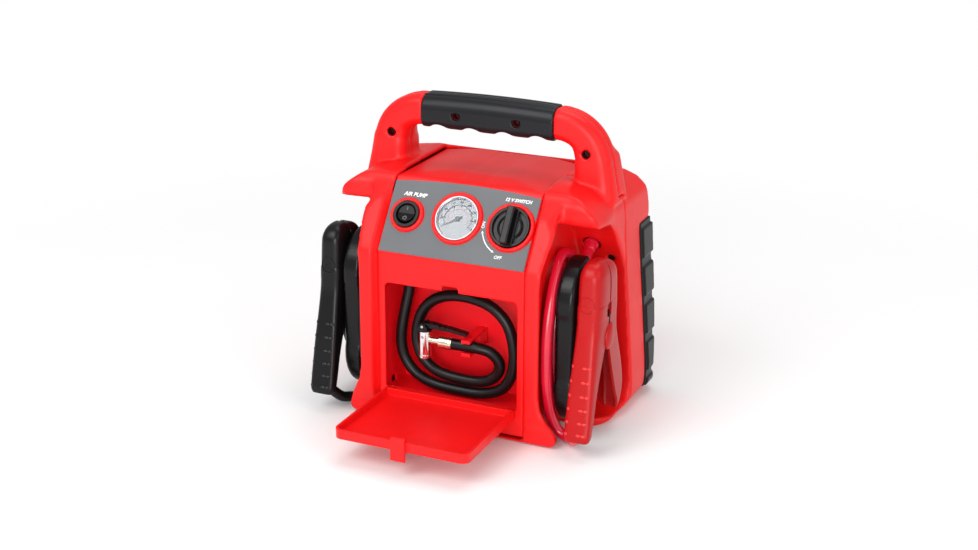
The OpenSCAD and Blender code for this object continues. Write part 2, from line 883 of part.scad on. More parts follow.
module rocker() {
    r = rocker_r - 0.8;
    color(black) on_slope(rocker_at) translate([0, 0, -1]) rotate([-rocker_tilt, 0, 0]) union() {
        intersection() {
            translate([0, 0, -8]) cylinder(r = r, h = 20);
            translate([-20, 0, 0]) rotate([90, 0, 90]) linear_extrude(40)
                polygon([[-20, 6.3], [0, 3.6], [20, 6.3], [20, -1.5], [4, -5], [-4, -5], [-20, -1.5]]);
        }
        rotate([0, 90, 0]) cylinder(r = 1.2, h = 2 * rocker_r + 2.6, center = true);
    }
}

module gauge_case() {
    color(black) on_slope(gauge_at) difference() {
        union() {
            translate([0, 0, -13]) cylinder(r = dial_r - 0.1, h = 15.2);
            translate([0, 0, -6.6]) cylinder(r = dial_r + 3, h = 3);
            translate([0, 0, -19]) cylinder(r = 4, h = 7);
        }
        difference() {
            union() {
                translate([0, 0, -11.5]) cylinder(r = dial_r - 2.9, h = 20);
                translate([0, 0, -2.6]) cylinder(r = dial_r - 1.7, h = 20);
                translate([0, 0, 0.5]) cylinder(r = dial_r - 1, h = 20);
            }
            translate([0, 0, -12]) cylinder(r = 0.8, h = 11.4);
        }
    }
}

module gauge_dial() {
    color("white") on_slope(gauge_at) translate([0, 0, -2.6]) difference() {
        cylinder(r = dial_r - 1.8, h = 0.8);
        cylinder(r = 1.3, h = 3, center = true);
    }
}

// The needle rests at the low end of its scale
module gauge_needle() {
    color(black) on_slope(gauge_at) translate([0, 0, -1.4]) difference() {
        union() {
            cylinder(r = 2.2, h = 1.4);
            rotate([0, 0, 210]) linear_extrude(0.6)
                polygon([[-4.5, -1], [-4.5, 1], [dial_r - 6, 0.3], [dial_r - 6, -0.3]]);
        }
        translate([0, 0, -1]) cylinder(r = 0.85, h = 2);
    }
}

module gauge_lens() {
    color("white", 0.4) on_slope(gauge_at) translate([0, 0, 0.5]) cylinder(r = dial_r - 1.1, h = 1.3);
}

module safety_body() {
    color(black) on_slope(knob_at) difference() {
        union() {
            translate([0, 0, -6.6]) cylinder(r = knob_r + 2, h = 3);
            translate([0, 0, -26]) cylinder(r = knob_r - 2, h = 20);
            for (x = [-1, 1]) translate([x * 8, 0, -31]) cylinder(r = 3, h = 6);
        }
        translate([0, 0, -20]) cylinder(r = 4.05, h = 30);
    }
}

// The safety switch knob, with its grip bar along the slope when off
module safety_knob() {
    color(black) on_slope(knob_at) union() {
        difference() {
            translate([0, 0, -3.2]) cylinder(r = knob_r - 0.3, h = 3.2 + 3.4);
            translate([0, 0, 1]) difference() {
                cylinder(r = knob_r - 2.4, h = 20);
                translate([-5.5, -knob_r, -1]) cube([11, 2 * knob_r, 30]);
                translate([0, 0, -1]) cylinder(r = knob_r - 6.4, h = 1.9);
            }
        }
        intersection() {
            cylinder(r = knob_r - 1.6, h = knob_h);
            translate([0, 50, 0]) rotate([90, 0, 0]) linear_extrude(100)
                polygon([[-5, 0], [-3.4, knob_h - 1], [-2.4, knob_h], [2.4, knob_h], [3.4, knob_h - 1], [5, 0]]);
        }
        translate([0, 0, -18]) cylinder(r = 4, h = 16);
    }
}

// ---- air hose and chuck ----

module air_hose() {
    color(black) tube(hose_route, hose_d, [0, 1, 0]);
}

module hose_gland() {
    color(black) translate([gland_top[0], gland_top[1], bay_ceiling_z]) difference() {
        union() {
            translate([0, 0, -hose_gland_len]) cylinder(r = hose_d / 2 + 2, h = hose_gland_len);
            translate([0, 0, -2]) cylinder(r = hose_d / 2 + 4, h = 2);
            translate([0, 0, -0.5]) cylinder(r = hose_d / 2 + 1.7, h = bay_wall + 6);
            translate([0, 0, bay_wall]) cylinder(r = hose_d / 2 + 5, h = 4, $fn = 6);
        }
        translate([0, 0, 1]) cylinder(r = 2, h = 20);
    }
}

module hose_ferrule() {
    color(steel) translate([-3, chuck_y, 76.5]) rotate([0, -90, 0]) difference() {
        union() {
            cylinder(r = hose_d / 2 + 0.6, h = 12);
            translate([0, 0, 2]) cylinder(r = hose_d / 2 + 1, h = 2);
            translate([0, 0, 11.5]) cylinder(r = 3.2, h = -3 - chuck_x - 11.5 - chuck_d / 2 + 1);
        }
        translate([0, 0, 3]) cylinder(r = 1.6, h = 40);
    }
}

module chuck_sleeve() {
    color(steel) translate([chuck_x, chuck_y, chuck_low_z]) difference() {
        union() {
            cylinder(d = chuck_d, h = chuck_len);
            translate([0, 0, 1.5]) cylinder(d = chuck_d + 0.8, h = 1.2);
        }
        translate([0, 0, -1]) cylinder(r = 2.7, h = chuck_len - 4);
        translate([0, 0, 76.5 - chuck_low_z]) rotate([0, 90, 0]) cylinder(r = 3.2, h = 20);
        translate([0, 0, 20]) rotate([90, 0, 0]) cylinder(r = 1.1, h = 20);
    }
}

// The forked head over the sleeve, with the lever's pin across it
module chuck_head() {
    color(black) translate([chuck_x, chuck_y, chuck_high_z]) difference() {
        union() {
            cylinder(r = chuck_d / 2 + 0.9, h = 2);
            for (s = [-1, 1]) translate([0, s * 5.1, 0]) rotate([90, 0, 0])
                linear_extrude(2, center = true) union() {
                    translate([0, lever_rise]) circle(r = 3);
                    translate([-4.5, 0.5]) square([9, lever_rise - 0.5]);
                }
        }
        translate([0, 0, lever_rise]) rotate([90, 0, 0]) cylinder(r = 1.22, h = 20, center = true);
        translate([0, 0, -1]) cylinder(r = 1.6, h = 20);
    }
}

module chuck_pin() {
    color(steel) translate([chuck_x, chuck_y, lever_z]) rotate([90, 0, 0])
        cylinder(r = 1.2, h = 12.8, center = true);
}

// The thumb lever, lying open over the hose
module chuck_lever() {
    color(black) translate([chuck_x, chuck_y, lever_z]) difference() {
        union() {
            rotate([90, 0, 0]) cylinder(r = 2.7, h = 7.4, center = true);
            rotate([90, 0, 0]) linear_extrude(7.4, center = true)
                polygon([[-2.6, -0.6], [-2.5, 1.6], [-1.8, 2.5], [8, 3], [26, 1], [41.5, -1.5], [41, -3.4], [24, -1.6], [0, -1.2]]);
        }
        rotate([90, 0, 0]) cylinder(r = 1.25, h = 20, center = true);
        for (x = [16, 21, 26]) translate([x, 0, 1.6]) rotate([90, 0, 0]) cylinder(r = 0.8, h = 20, center = true, $fn = 8);
    }
}

// ---- cables, hubs and glands ----

module hub_outline(grow = 0) {
    intersection() {
        offset(delta = grow) union() {
            translate([hub_y, hub_low_z]) circle(r = hub_r);
            translate([hub_y, hub_high_z]) circle(r = hub_r);
            translate([hub_y - hub_r + 1.5, hub_low_z]) square([2 * hub_r - 3, hub_high_z - hub_low_z]);
        }
        translate([-100, 0]) square([100 + hub_y + hub_back + grow, far]);
    }
}

module hub() {
    side_extrude(core_half, hub_x + 1) union() {
        translate([hub_y, hub_low_z + 12]) circle(r = hub_core_r);
        translate([hub_y, hub_core_high_z]) circle(r = hub_core_r);
        translate([hub_y - hub_core_r, hub_low_z + 12]) square([2 * hub_core_r, hub_core_high_z - hub_low_z - 12]);
    }
    side_extrude(hub_x, hub_x + 2) hub_outline(-2);
    side_extrude(hub_x + 2, hub_out_x - 2) hub_outline();
    side_extrude(hub_out_x - 2, hub_out_x) hub_outline(-2);
    translate([hub_out_x - 1, clamp_y - 0.9, clamp_z + tab_low])
        cube([clamp_x + clamp_w / 2 - hub_out_x + 1.4, 1.8, tab_high - tab_low]);
}

module hub_right() {
    color(black) hub();
}

module hub_left() {
    color(black) mirror([1, 0, 0]) hub();
}

module gland() {
    gland_axis(1) difference() {
        union() {
            cylinder(d = gland_d + 4.6, h = 2.2);
            cylinder(d = gland_d - 0.6, h = gland_len);
            translate([0, 0, -wall - bumper_t - 5]) cylinder(d = gland_d - 0.5, h = wall + bumper_t + 6);
        }
        translate([0, 0, -20]) cylinder(d = cable_d - 2, h = 19);
    }
}

module gland_right() {
    color(black) gland();
}

module gland_left() {
    color(black) mirror([1, 0, 0]) gland();
}

module cable_right() {
    color(red) tube(cable_points, cable_d, [1, 0, 0]);
}

module cable_left() {
    color(black) mirror([1, 0, 0]) tube(cable_points, cable_d, [1, 0, 0]);
}

// ---- clamps: drawn round their pivot, Y back and Z up ----

function stretch(points) = [for (p = points)
    [p[0], p[1] * (p[1] > 0 ? head_len / 68 : lever_len / 84)]];

front_side = stretch([
    [-seam, 66], [-8, 68], [-16, 66], [-21, 58], [-23.5, 40], [-25, 24], [-26.5, 8],
    [-31, -12], [-36, -34], [-41, -60], [-45.5, -80], [-44, -84]
]);
front_back = stretch([[-37.5, -83], [-30, -55], [-23, -36], [-12, -14], [-7.5, -6], [-seam, 10]]);
rear_side = stretch([
    [seam, 64], [7, 66], [14, 63], [20, 52], [21.5, 30], [21.6, 11], [27, -8],
    [36.9, -30], [43, -48], [44.8, -62], [43, -77], [40.5, -84]
]);
rear_back = stretch([[38.5, -83.8], [34, -76], [21, -57.9], [5.2, -19.8], [seam, -8]]);

// A channel with its open side toward the other handle
module channel(side, back, away) {
    side_extrude(-clamp_w / 2, clamp_w / 2) polygon(concat(side, back));
}

module channel_inside(side, away) {
    half = clamp_w / 2 - clamp_wall;
    last = len(side) - 1;
    side_extrude(-half, half) offset(delta = -clamp_wall)
        polygon(concat(side, [[away, side[last][1]], [away, side[0][1]]]));
}

module clamp_place() {
    translate([clamp_x, clamp_y, clamp_z]) children();
}

module clamp_front() {
    difference() {
        union() {
            difference() {
                union() {
                    channel(front_side, front_back);
                    side_extrude(-clamp_w / 2, clamp_w / 2) circle(r = ear_r);
                }
                channel_inside(front_side, 60);
            }
            side_extrude(clamp_w / 2 - 0.5, clamp_w / 2 + 1) circle(r = 4.6);
            translate([clamp_w / 2 + 0.3, 0, 0]) rotate([-22, 0, 0]) side_extrude(0, 1.8) union() {
                for (z = [-7, 7]) translate([0, z]) circle(r = 5);
                square([10, 14], center = true);
            }
            intersection() {
                translate(exit_at) rotate(exit_turn) translate([0, 0, -7]) cylinder(d = cable_d + 3, h = 7);
                side_extrude(-clamp_w / 2 + 0.5, clamp_w / 2 - 0.5)
                    polygon(concat(front_side, [[-20, -70], [-12, 30]]));
            }
        }
        side_extrude(-far, far) circle(d = clamp_pin_d + 0.06);
        translate(exit_at) rotate(exit_turn) cylinder(d = cable_d + 1.6, h = 30);
    }
}

module clamp_rear() {
    inner = clamp_w / 2 - clamp_wall - 0.3;
    difference() {
        union() {
            difference() {
                channel(rear_side, rear_back);
                channel_inside(rear_side, -60);
                side_extrude(-far, far) circle(r = ear_r + 0.8);
            }
            for (s = [0, 1]) mirror([s, 0, 0]) side_extrude(inner - 2.4, inner) union() {
                circle(r = ear_r - 0.4);
                polygon([[0, ear_r - 0.4], [0, 0.4 - ear_r], [20, -13], [21, 12]]);
            }
        }
        side_extrude(-far, far) circle(d = clamp_pin_d + 0.1);
    }
}

module clamp_pin() {
    side_extrude(-clamp_w / 2 - 0.3, clamp_w / 2 + 2.2) circle(d = clamp_pin_d);
    side_extrude(clamp_w / 2 + 2.1, clamp_w / 2 + 3) circle(d = clamp_pin_d + 2);
}

// A toothed contact strip inside a jaw: side is -1 for the front handle
module jaw_strip(side) {
    half = clamp_w / 2 - clamp_wall - 0.05;
    low = 23;
    high = head_len - 8;
    teeth = 9;
    step = (high - low) / teeth;
    side_extrude(-half, half) mirror([side < 0 ? 1 : 0, 0]) polygon(concat(
        [[4.2, low], [1.4, low]],
        [for (i = [0 : teeth - 1]) each [[0.2, low + step * (i + 0.2)], [0.2, low + step * (i + 0.6)], [1.6, low + step * (i + 0.9)]]],
        [[1.6, high], [4.2, high]]
    ));
}

module clamp_spring() {
    r = clamp_pin_d / 2 + 1.9;
    for (i = [-1.5 : 1.5]) translate([i * 1.9, 0, 0]) rotate([0, 90, 0])
        rotate_extrude() translate([r, 0]) circle(r = 1, $fn = 16);
    translate([-2.85, -r, 0]) rotate([172, 0, 0]) cylinder(r = 1, h = 28, $fn = 16);
    translate([2.85, r, 0]) rotate([205, 0, 0]) cylinder(r = 1, h = 18, $fn = 16);
}

module clamp_front_right() {
    color(red) clamp_place() clamp_front();
}

module clamp_rear_right() {
    color(red) clamp_place() clamp_rear();
}

module clamp_pin_right() {
    color(steel) clamp_place() clamp_pin();
}

module clamp_jaws_front_right() {
    color(copper) clamp_place() jaw_strip(-1);
}

module clamp_jaw_rear_right() {
    color(copper) clamp_place() jaw_strip(1);
}

module clamp_spring_right() {
    color(steel) clamp_place() clamp_spring();
}

module clamp_front_left() {
    color(black) mirror([1, 0, 0]) clamp_place() clamp_front();
}

module clamp_rear_left() {
    color(black) mirror([1, 0, 0]) clamp_place() clamp_rear();
}

module clamp_pin_left() {
    color(steel) mirror([1, 0, 0]) clamp_place() clamp_pin();
}

module clamp_jaws_front_left() {
    color(copper) mirror([1, 0, 0]) clamp_place() jaw_strip(-1);
}

module clamp_jaw_rear_left() {
    color(copper) mirror([1, 0, 0]) clamp_place() jaw_strip(1);
}

module clamp_spring_left() {
    color(steel) mirror([1, 0, 0]) clamp_place() clamp_spring();
}

// ---- bumpers ----

module bumper() {
    pitch = (bumper_top - 22) / lug_count;
    intersection() {
        translate([bumper_in_x + 0.2, bumper_y + 0.2, bumper_low + 0.2])
            cube([60, 60, bumper_top - bumper_low - 0.4]);
        difference() {
            wing_block(0.6);
            wing_block(-bumper_t);
        }
    }
    intersection() {
        union() {
            for (i = [0 : lug_count - 1])
                translate([bumper_in_x + 4, bumper_y + 3, bumper_top - 6 - i * pitch - (pitch - 9)])
                    cube([60, 60, pitch - 9]);
            translate([bumper_in_x + 4, bumper_y + 3, bumper_low + 1]) cube([60, 60, 8]);
        }
        difference() {
            wing_block(lug_proud);
            wing_block(-bumper_t);
        }
    }
}

module bumper_right() {
    color(black) bumper();
}

module bumper_left() {
    color(black) mirror([1, 0, 0]) bumper();
}

// ---- inside ----

module battery() {
    color(black) difference() {
        union() {
            translate([-battery_l / 2, battery_y0, floor_t]) cube([battery_l, battery_w, battery_h - 3]);
            translate([-battery_l / 2 + 2, battery_y0 + 2, floor_t]) cube([battery_l - 4, battery_w - 4, battery_h]);
        }
        for (x = [-1, 1]) translate([x * 60 - 6, battery_y0 + 8, floor_t + battery_h - 3]) cube([12, 9, 10]);
    }
}

module battery_terminals() {
    color(steel) for (x = [-1, 1]) translate([x * 60, battery_y0 + 12.5, floor_t + battery_h - 3]) difference() {
        union() {
            translate([-5, -3.5, 0]) cube([10, 7, 1.5]);
            translate([-5, 2, 0]) cube([10, 1.5, 11]);
        }
        translate([0, 0, 7]) rotate([90, 0, 0]) cylinder(r = 2, h = 20, center = true);
    }
}

module battery_strap() {
    z1 = floor_t + battery_h;
    y1 = battery_y0 + battery_w;
    color(steel) side_extrude(-12, 12) polygon([
        [battery_y0 - 1.6, floor_t], [battery_y0 - 1.6, z1 + 1.6], [y1 + 1.6, z1 + 1.6],
        [y1 + 1.6, floor_t + 1.6], [y1 + 12, floor_t + 1.6], [y1 + 12, floor_t], [y1, floor_t],
        [y1, z1], [battery_y0, z1], [battery_y0, floor_t]
    ]);
}

module motor() {
    color(steel) translate([case_x, motor_y, motor_z]) rotate([0, -90, 0]) difference() {
        union() {
            cylinder(d = motor_d, h = motor_len);
            translate([0, 0, motor_len]) cylinder(d = motor_d * 0.4, h = 4);
            for (s = [-1, 1]) translate([s * 9 - 2, -1, motor_len - 2]) cube([4, 2, 9]);
        }
        translate([0, 0, -1]) cylinder(r = 2.05, h = 10);
    }
}

function gear_outline(teeth) = let (r = gear_module * teeth / 2, a = 360 / teeth) [
    for (i = [0 : teeth - 1], q = [[-0.3, -1.15], [-0.14, 0.85], [0.14, 0.85], [0.3, -1.15]])
        let (w = (i + q[0]) * a, d = r + q[1] * gear_module) [d * cos(w), d * sin(w)]
];

module motor_pinion() {
    color(steel) translate([0, motor_y, motor_z]) union() {
        translate([gear_x, 0, 0]) rotate([0, 90, 0]) rotate([0, 0, 0]) linear_extrude(gear_w)
            polygon(gear_outline(pinion_teeth));
        side_extrude(case_x - 8.8, gear_x + gear_w + 1) circle(r = 2);
    }
}

module drive_gear() {
    turn = (gear_teeth % 2 == 0) ? 180 / gear_teeth : 0;
    color(steel) translate([0, motor_y, motor_z + gear_gap]) union() {
        difference() {
            translate([gear_x, 0, 0]) rotate([0, 90, 0]) rotate([0, 0, turn]) linear_extrude(gear_w)
                polygon(gear_outline(gear_teeth));
            for (i = [0 : 5]) rotate([i * 60, 0, 0]) translate([0, 0, gear_module * gear_teeth * 0.3])
                side_extrude(gear_x - 1, gear_x + gear_w + 1) circle(r = 3.6);
        }
        side_extrude(gear_x, gear_x + gear_w + 2) circle(r = 6);
        side_extrude(gear_x - 11, gear_x + 1) circle(r = 4);
    }
}

module crankcase() {
    z_axis = motor_z + gear_gap;
    color(steel) difference() {
        union() {
            translate([case_x, motor_y - 22, motor_z - 23]) cube([case_w, 44, gear_gap + 40]);
            for (x = [case_x + 1, case_x + case_w - 9])
                translate([x, motor_y + 20, motor_z - 14]) cube([8, rear_y - wall - motor_y - 20, 36]);
        }
        translate([case_x + 4, motor_y - 16, motor_z - 17]) cube([case_w - 16, 32, gear_gap + 28]);
        side_extrude(case_x - 1, case_x + case_w + 1) translate([motor_y, motor_z]) circle(r = 3);
        side_extrude(case_x + case_w - 10.5, case_x + case_w + 1) translate([motor_y, z_axis]) circle(r = 4.05);
        translate([case_x + 10, motor_y, z_axis + 10]) cylinder(r = 9, h = 12);
    }
}

case_top_z = motor_z + gear_gap + 17;

module pump_cylinder() {
    color(grey) translate([case_x + 10, motor_y, case_top_z]) difference() {
        union() {
            translate([0, 0, -6]) cylinder(r = 8.8, h = 8);
            cylinder(r = 12, h = 22);
            for (i = [0 : 4]) translate([0, 0, 1 + i * 4.4]) cylinder(r = 16, h = 2);
        }
        translate([0, 0, -7]) cylinder(r = 7, h = 40);
    }
}

module pump_head() {
    color(steel) translate([case_x + 10, motor_y, case_top_z + 22]) union() {
        translate([-14, -14, 0]) cube([28, 28, 5]);
        translate([0, 0, 4]) cylinder(r = 9, h = 4);
        translate([0, -8, 3.7]) rotate([90, 0, 0]) cylinder(r = 3.5, h = 14);
        for (x = [-10.5, 10.5], y = [-10.5, 10.5]) translate([x, y, 4]) cylinder(r = 2.6, h = 3.4, $fn = 6);
    }
}

board_at = [-44, 112];

module board_posts(d, y0) {
    for (x = [-20, 20], z = [4, 50]) front_extrude(y0, rear_y - wall + 0.5)
        translate([board_at[0] + x, board_at[1] + z]) circle(d = d);
}

module circuit_board() {
    y1 = rear_y - wall - 8;
    color("#1d6b3a") difference() {
        union() {
            front_extrude(y1 - 1.6, y1) translate([board_at[0] - 25, board_at[1] - 1]) square([50, 56]);
            translate([board_at[0] - 14, y1 - 12, board_at[1] + 10]) cube([17, 10.5, 19]);
            translate([board_at[0] + 12, y1 - 12, board_at[1] + 36]) rotate([-90, 0, 0]) cylinder(r = 5, h = 10.5);
            translate([board_at[0] - 18, y1 - 7, board_at[1] + 38]) cube([22, 5.5, 7]);
        }
        for (x = [-20, 20], z = [4, 50]) front_extrude(y1 - 9, y1 + 9)
            translate([board_at[0] + x, board_at[1] + z]) circle(d = 3);
    }
}

front_shell();
rear_shell();
front_panel();
hose_bay();
label_plate();
grip_front();
grip_rear();
door();
door_pins();
rocker_body();
rocker();
gauge_case();
gauge_dial();
gauge_needle();
gauge_lens();
safety_body();
safety_knob();
air_hose();
hose_gland();
hose_ferrule();
chuck_head();
chuck_sleeve();
chuck_lever();
chuck_pin();
hub_right();
hub_left();
gland_right();
gland_left();
cable_right();
cable_left();
clamp_front_right();
clamp_rear_right();
clamp_pin_right();
clamp_jaws_front_right();
clamp_jaw_rear_right();
clamp_spring_right();
clamp_front_left();
clamp_rear_left();
clamp_pin_left();
clamp_jaws_front_left();
clamp_jaw_rear_left();
clamp_spring_left();
bumper_right();
bumper_left();
handle_screws();
shell_screws();
battery();
battery_terminals();
battery_strap();
motor();
motor_pinion();
drive_gear();
crankcase();
pump_cylinder();
pump_head();
circuit_board();
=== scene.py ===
import json
import math
import bmesh
import bpy
from mathutils import Matrix, Vector


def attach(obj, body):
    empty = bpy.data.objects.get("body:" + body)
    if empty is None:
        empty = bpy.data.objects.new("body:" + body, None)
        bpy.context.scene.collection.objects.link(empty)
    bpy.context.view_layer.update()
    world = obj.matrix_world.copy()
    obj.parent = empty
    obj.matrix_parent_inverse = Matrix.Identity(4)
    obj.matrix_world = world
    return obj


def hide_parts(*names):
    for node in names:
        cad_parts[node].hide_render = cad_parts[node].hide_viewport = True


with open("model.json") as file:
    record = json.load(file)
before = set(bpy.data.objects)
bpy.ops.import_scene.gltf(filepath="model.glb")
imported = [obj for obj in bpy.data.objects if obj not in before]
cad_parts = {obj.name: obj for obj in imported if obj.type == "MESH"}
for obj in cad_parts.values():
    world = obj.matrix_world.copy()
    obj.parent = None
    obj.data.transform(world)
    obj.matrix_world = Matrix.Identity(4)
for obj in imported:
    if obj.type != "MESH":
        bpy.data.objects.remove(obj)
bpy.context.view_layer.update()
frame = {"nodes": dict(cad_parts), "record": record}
MM = 0.001


def mm(*point):
    """A point given in millimetres, in metres."""
    return Vector(point) * MM


def stand_in_scene(name, data):
    """A new object in the scene."""
    thing = bpy.data.objects.new(name, data)
    bpy.context.scene.collection.objects.link(thing)
    return thing


def settled_mesh(thing):
    """The mesh of an object with its modifiers or its text worked out."""
    return bpy.data.meshes.new_from_object(thing.evaluated_get(bpy.context.evaluated_depsgraph_get()))


# ---- camera ----

def aim_camera(azimuth, elevation, roll, distance, target, lens):
    """Stands the camera off its target: angles in degrees, lens in millimetres."""
    az, el, ro = (math.radians(a) for a in (azimuth, elevation, roll))
    back = Vector((math.sin(az) * math.cos(el), -math.cos(az) * math.cos(el), math.sin(el)))
    right = (-back).cross(Vector((0, 0, 1))).normalized()
    up = right.cross(-back)
    x = right * math.cos(ro) + up * math.sin(ro)
    y = up * math.cos(ro) - right * math.sin(ro)
    data = bpy.data.cameras.new("camera")
    data.lens, data.sensor_width = lens, 36
    data.clip_start, data.clip_end = 0.05, 30
    camera = stand_in_scene("camera", data)
    turn = Matrix((x, y, back)).transposed().to_4x4()
    camera.matrix_world = Matrix.Translation(target + back * distance) @ turn
    bpy.context.scene.camera = camera


aim_camera(azimuth=24.0, elevation=19.6, roll=0.3, distance=1.4, target=mm(14.0, -33.1, 130.4), lens=58.55)


# ---- shader arithmetic ----

class Wire:
    """A shader value. Arithmetic on it adds Math nodes."""

    def __init__(self, finish, socket):
        self.finish, self.socket = finish, socket

    def math(self, operation, *values):
        return self.finish.node("ShaderNodeMath", {"operation": operation}, dict(enumerate(values)))

    def __add__(self, other):
        return self.math("ADD", self, other)

    def __sub__(self, other):
        return self.math("SUBTRACT", self, other)

    def __rsub__(self, other):
        return self.math("SUBTRACT", other, self)

    def __mul__(self, other):
        return self.math("MULTIPLY", self, other)

    __radd__ = __add__

    def step(self, low, high):
        """0 below low, 1 above high, smooth between."""
        return self.finish.node(
            "ShaderNodeMapRange", {"interpolation_type": "SMOOTHSTEP"},
            {"Value": self, "From Min": low, "From Max": high})


# Sockets of the Mix node when it mixes colours, which share their names with its other sockets
MIX_AMOUNT, MIX_FIRST, MIX_SECOND, MIXED_COLOUR = 0, 6, 7, 2


class Finish:
    """A material on a Principled shader."""

    def __init__(self, name, **surface):
        self.name = name
        self.material = bpy.data.materials.new(name)
        self.material.use_nodes = True
        self.tree = self.material.node_tree
        self.tree.nodes.clear()
        self.shader = self.tree.nodes.new("ShaderNodeBsdfPrincipled")
        self.output = self.tree.nodes.new("ShaderNodeOutputMaterial")
        self.tree.links.new(self.shader.outputs[0], self.output.inputs[0])
        self.coat_with(**surface)

    def set(self, node, values):
        for key, value in values.items():
            socket = node.inputs[key]
            if isinstance(value, Wire):
                self.tree.links.new(value.socket, socket)
            else:
                socket.default_value = value

    def node(self, kind, settings=None, values=None, out=0):
        """A new node: settings are its own, values go into its sockets, and out is the one that it gives."""
        node = self.tree.nodes.new(kind)
        for key, value in (settings or {}).items():
            setattr(node, key, value)
        self.set(node, values or {})
        return Wire(self, node.outputs[out])

    def noise(self, size, detail=2.0, rough=0.5):
        """Soft noise whose clouds are about size across, in the piece's own metres."""
        place = self.node("ShaderNodeTexCoord", out="Object")
        return self.node("ShaderNodeTexNoise", None, {
            "Vector": place, "Scale": 1 / size, "Detail": detail, "Roughness": rough})

    def mix(self, amount, first, second):
        """A colour from first, at 0, to second, at 1."""
        return self.node("ShaderNodeMix", {"data_type": "RGBA"},
                         {MIX_AMOUNT: amount, MIX_FIRST: first, MIX_SECOND: second}, out=MIXED_COLOUR)

    def soft_edges(self, radius):
        """The surface's direction, turning softly over its edges."""
        return self.node("ShaderNodeBevel", {"samples": 6}, {"Radius": radius})

    def edge(self, soft):
        """1 on outer and inner edges, 0 on flat ground."""
        true = self.node("ShaderNodeNewGeometry", out="Normal")
        dot = self.node("ShaderNodeVectorMath", {"operation": "DOT_PRODUCT"}, {0: soft, 1: true}, out="Value")
        return (1 - dot).step(low=0.01, high=0.16)

    def bump(self, height, depth, strength, normal):
        """The direction normal with relief of that depth on it."""
        return self.node("ShaderNodeBump", None, {
            "Strength": strength, "Distance": depth, "Height": height, "Normal": normal})

    def coat_with(self, **surface):
        """Sets the shader's own values, named as its sockets are, in small letters."""
        values = {key.replace("_", " ").title().replace("Ior", "IOR"): v for key, v in surface.items()}
        self.set(self.shader, values)
        return self


def rgb(*channels):
    """A screen colour, 0 to 255, as a shader colour."""
    colour = []
    for channel in channels:
        level = channel / 255
        colour.append(level / 12.92 if level <= 0.04045 else ((level + 0.055) / 1.055) ** 2.4)
    return (*colour, 1.0)


def moulded(name, colour, rough=0.36, grain=0.00035, depth=0.00002, round_by=0.0009, worn=0.10,
            tint=0.05, **surface):
    """Moulded plastic or rubber: fine spark-eroded grain, slight flow marks, edges softened and rubbed.
    grain, depth and round_by are in metres."""
    f = Finish(name, **surface)
    soft = f.soft_edges(round_by)
    cloud = f.noise(0.035, detail=3.0)
    fine = f.noise(grain, rough=0.6)
    edge = f.edge(soft)
    pale = tuple(min(1.0, c * (1 + worn) + worn * 0.05) for c in colour[:3]) + (1.0,)
    deep = tuple(c * (1 - tint) for c in colour[:3]) + (1.0,)
    body = f.mix(cloud.step(low=0.35, high=0.7), colour, deep)
    return f.coat_with(
        base_color=f.mix(edge * 0.8, body, pale),
        roughness=rough + (fine - 0.5) * 0.12 + (cloud - 0.5) * 0.10 - edge * 0.04,
        normal=f.bump(fine, depth, 0.6, soft))


def smooth_moulded(name, colour, rough=0.3, level=0.25):
    """The finer moulded plastic of the clamps, with level as its specular level."""
    return moulded(name, colour, rough, grain=0.0004, depth=0.00001, round_by=0.0006,
                   specular_ior_level=level)


def painted_shade_finish(name, colour):
    """A dull finish for what lies down in a hole or a groove, given a dark colour as painted shade."""
    return moulded(name, colour, rough=0.5, grain=0.0005, depth=0.000004, round_by=0.0002, worn=0.0,
                   specular_ior_level=0.15)


def printed(name, colour, rough=0.5, tint=0.05):
    """Printing ink."""
    return moulded(name, colour, rough, grain=0.0003, depth=0.000002, round_by=0.0001, worn=0.0, tint=tint)


def metal(name, tone, rough, brush=0.0002, depth=0.000006):
    """Plated or machined metal with fine brushing, brush and depth in metres."""
    f = Finish(name, metallic=1.0)
    colour = (*tone, 1.0)
    soft = f.soft_edges(0.0003)
    streak = f.noise(brush, detail=3.0, rough=0.6)
    patch = f.noise(0.006, detail=3.0)
    dull = tuple(c * 0.82 for c in colour[:3]) + (1.0,)
    return f.coat_with(
        base_color=f.mix(patch.step(low=0.4, high=0.75), colour, dull),
        roughness=rough + (streak - 0.5) * 0.12 + (patch - 0.5) * 0.1,
        normal=f.bump(streak, depth, 0.5, soft))


def polished(name, tone, rough):
    """Metal smooth enough to mirror the room softly."""
    return metal(name, tone, rough, brush=0.0006, depth=0.000002)


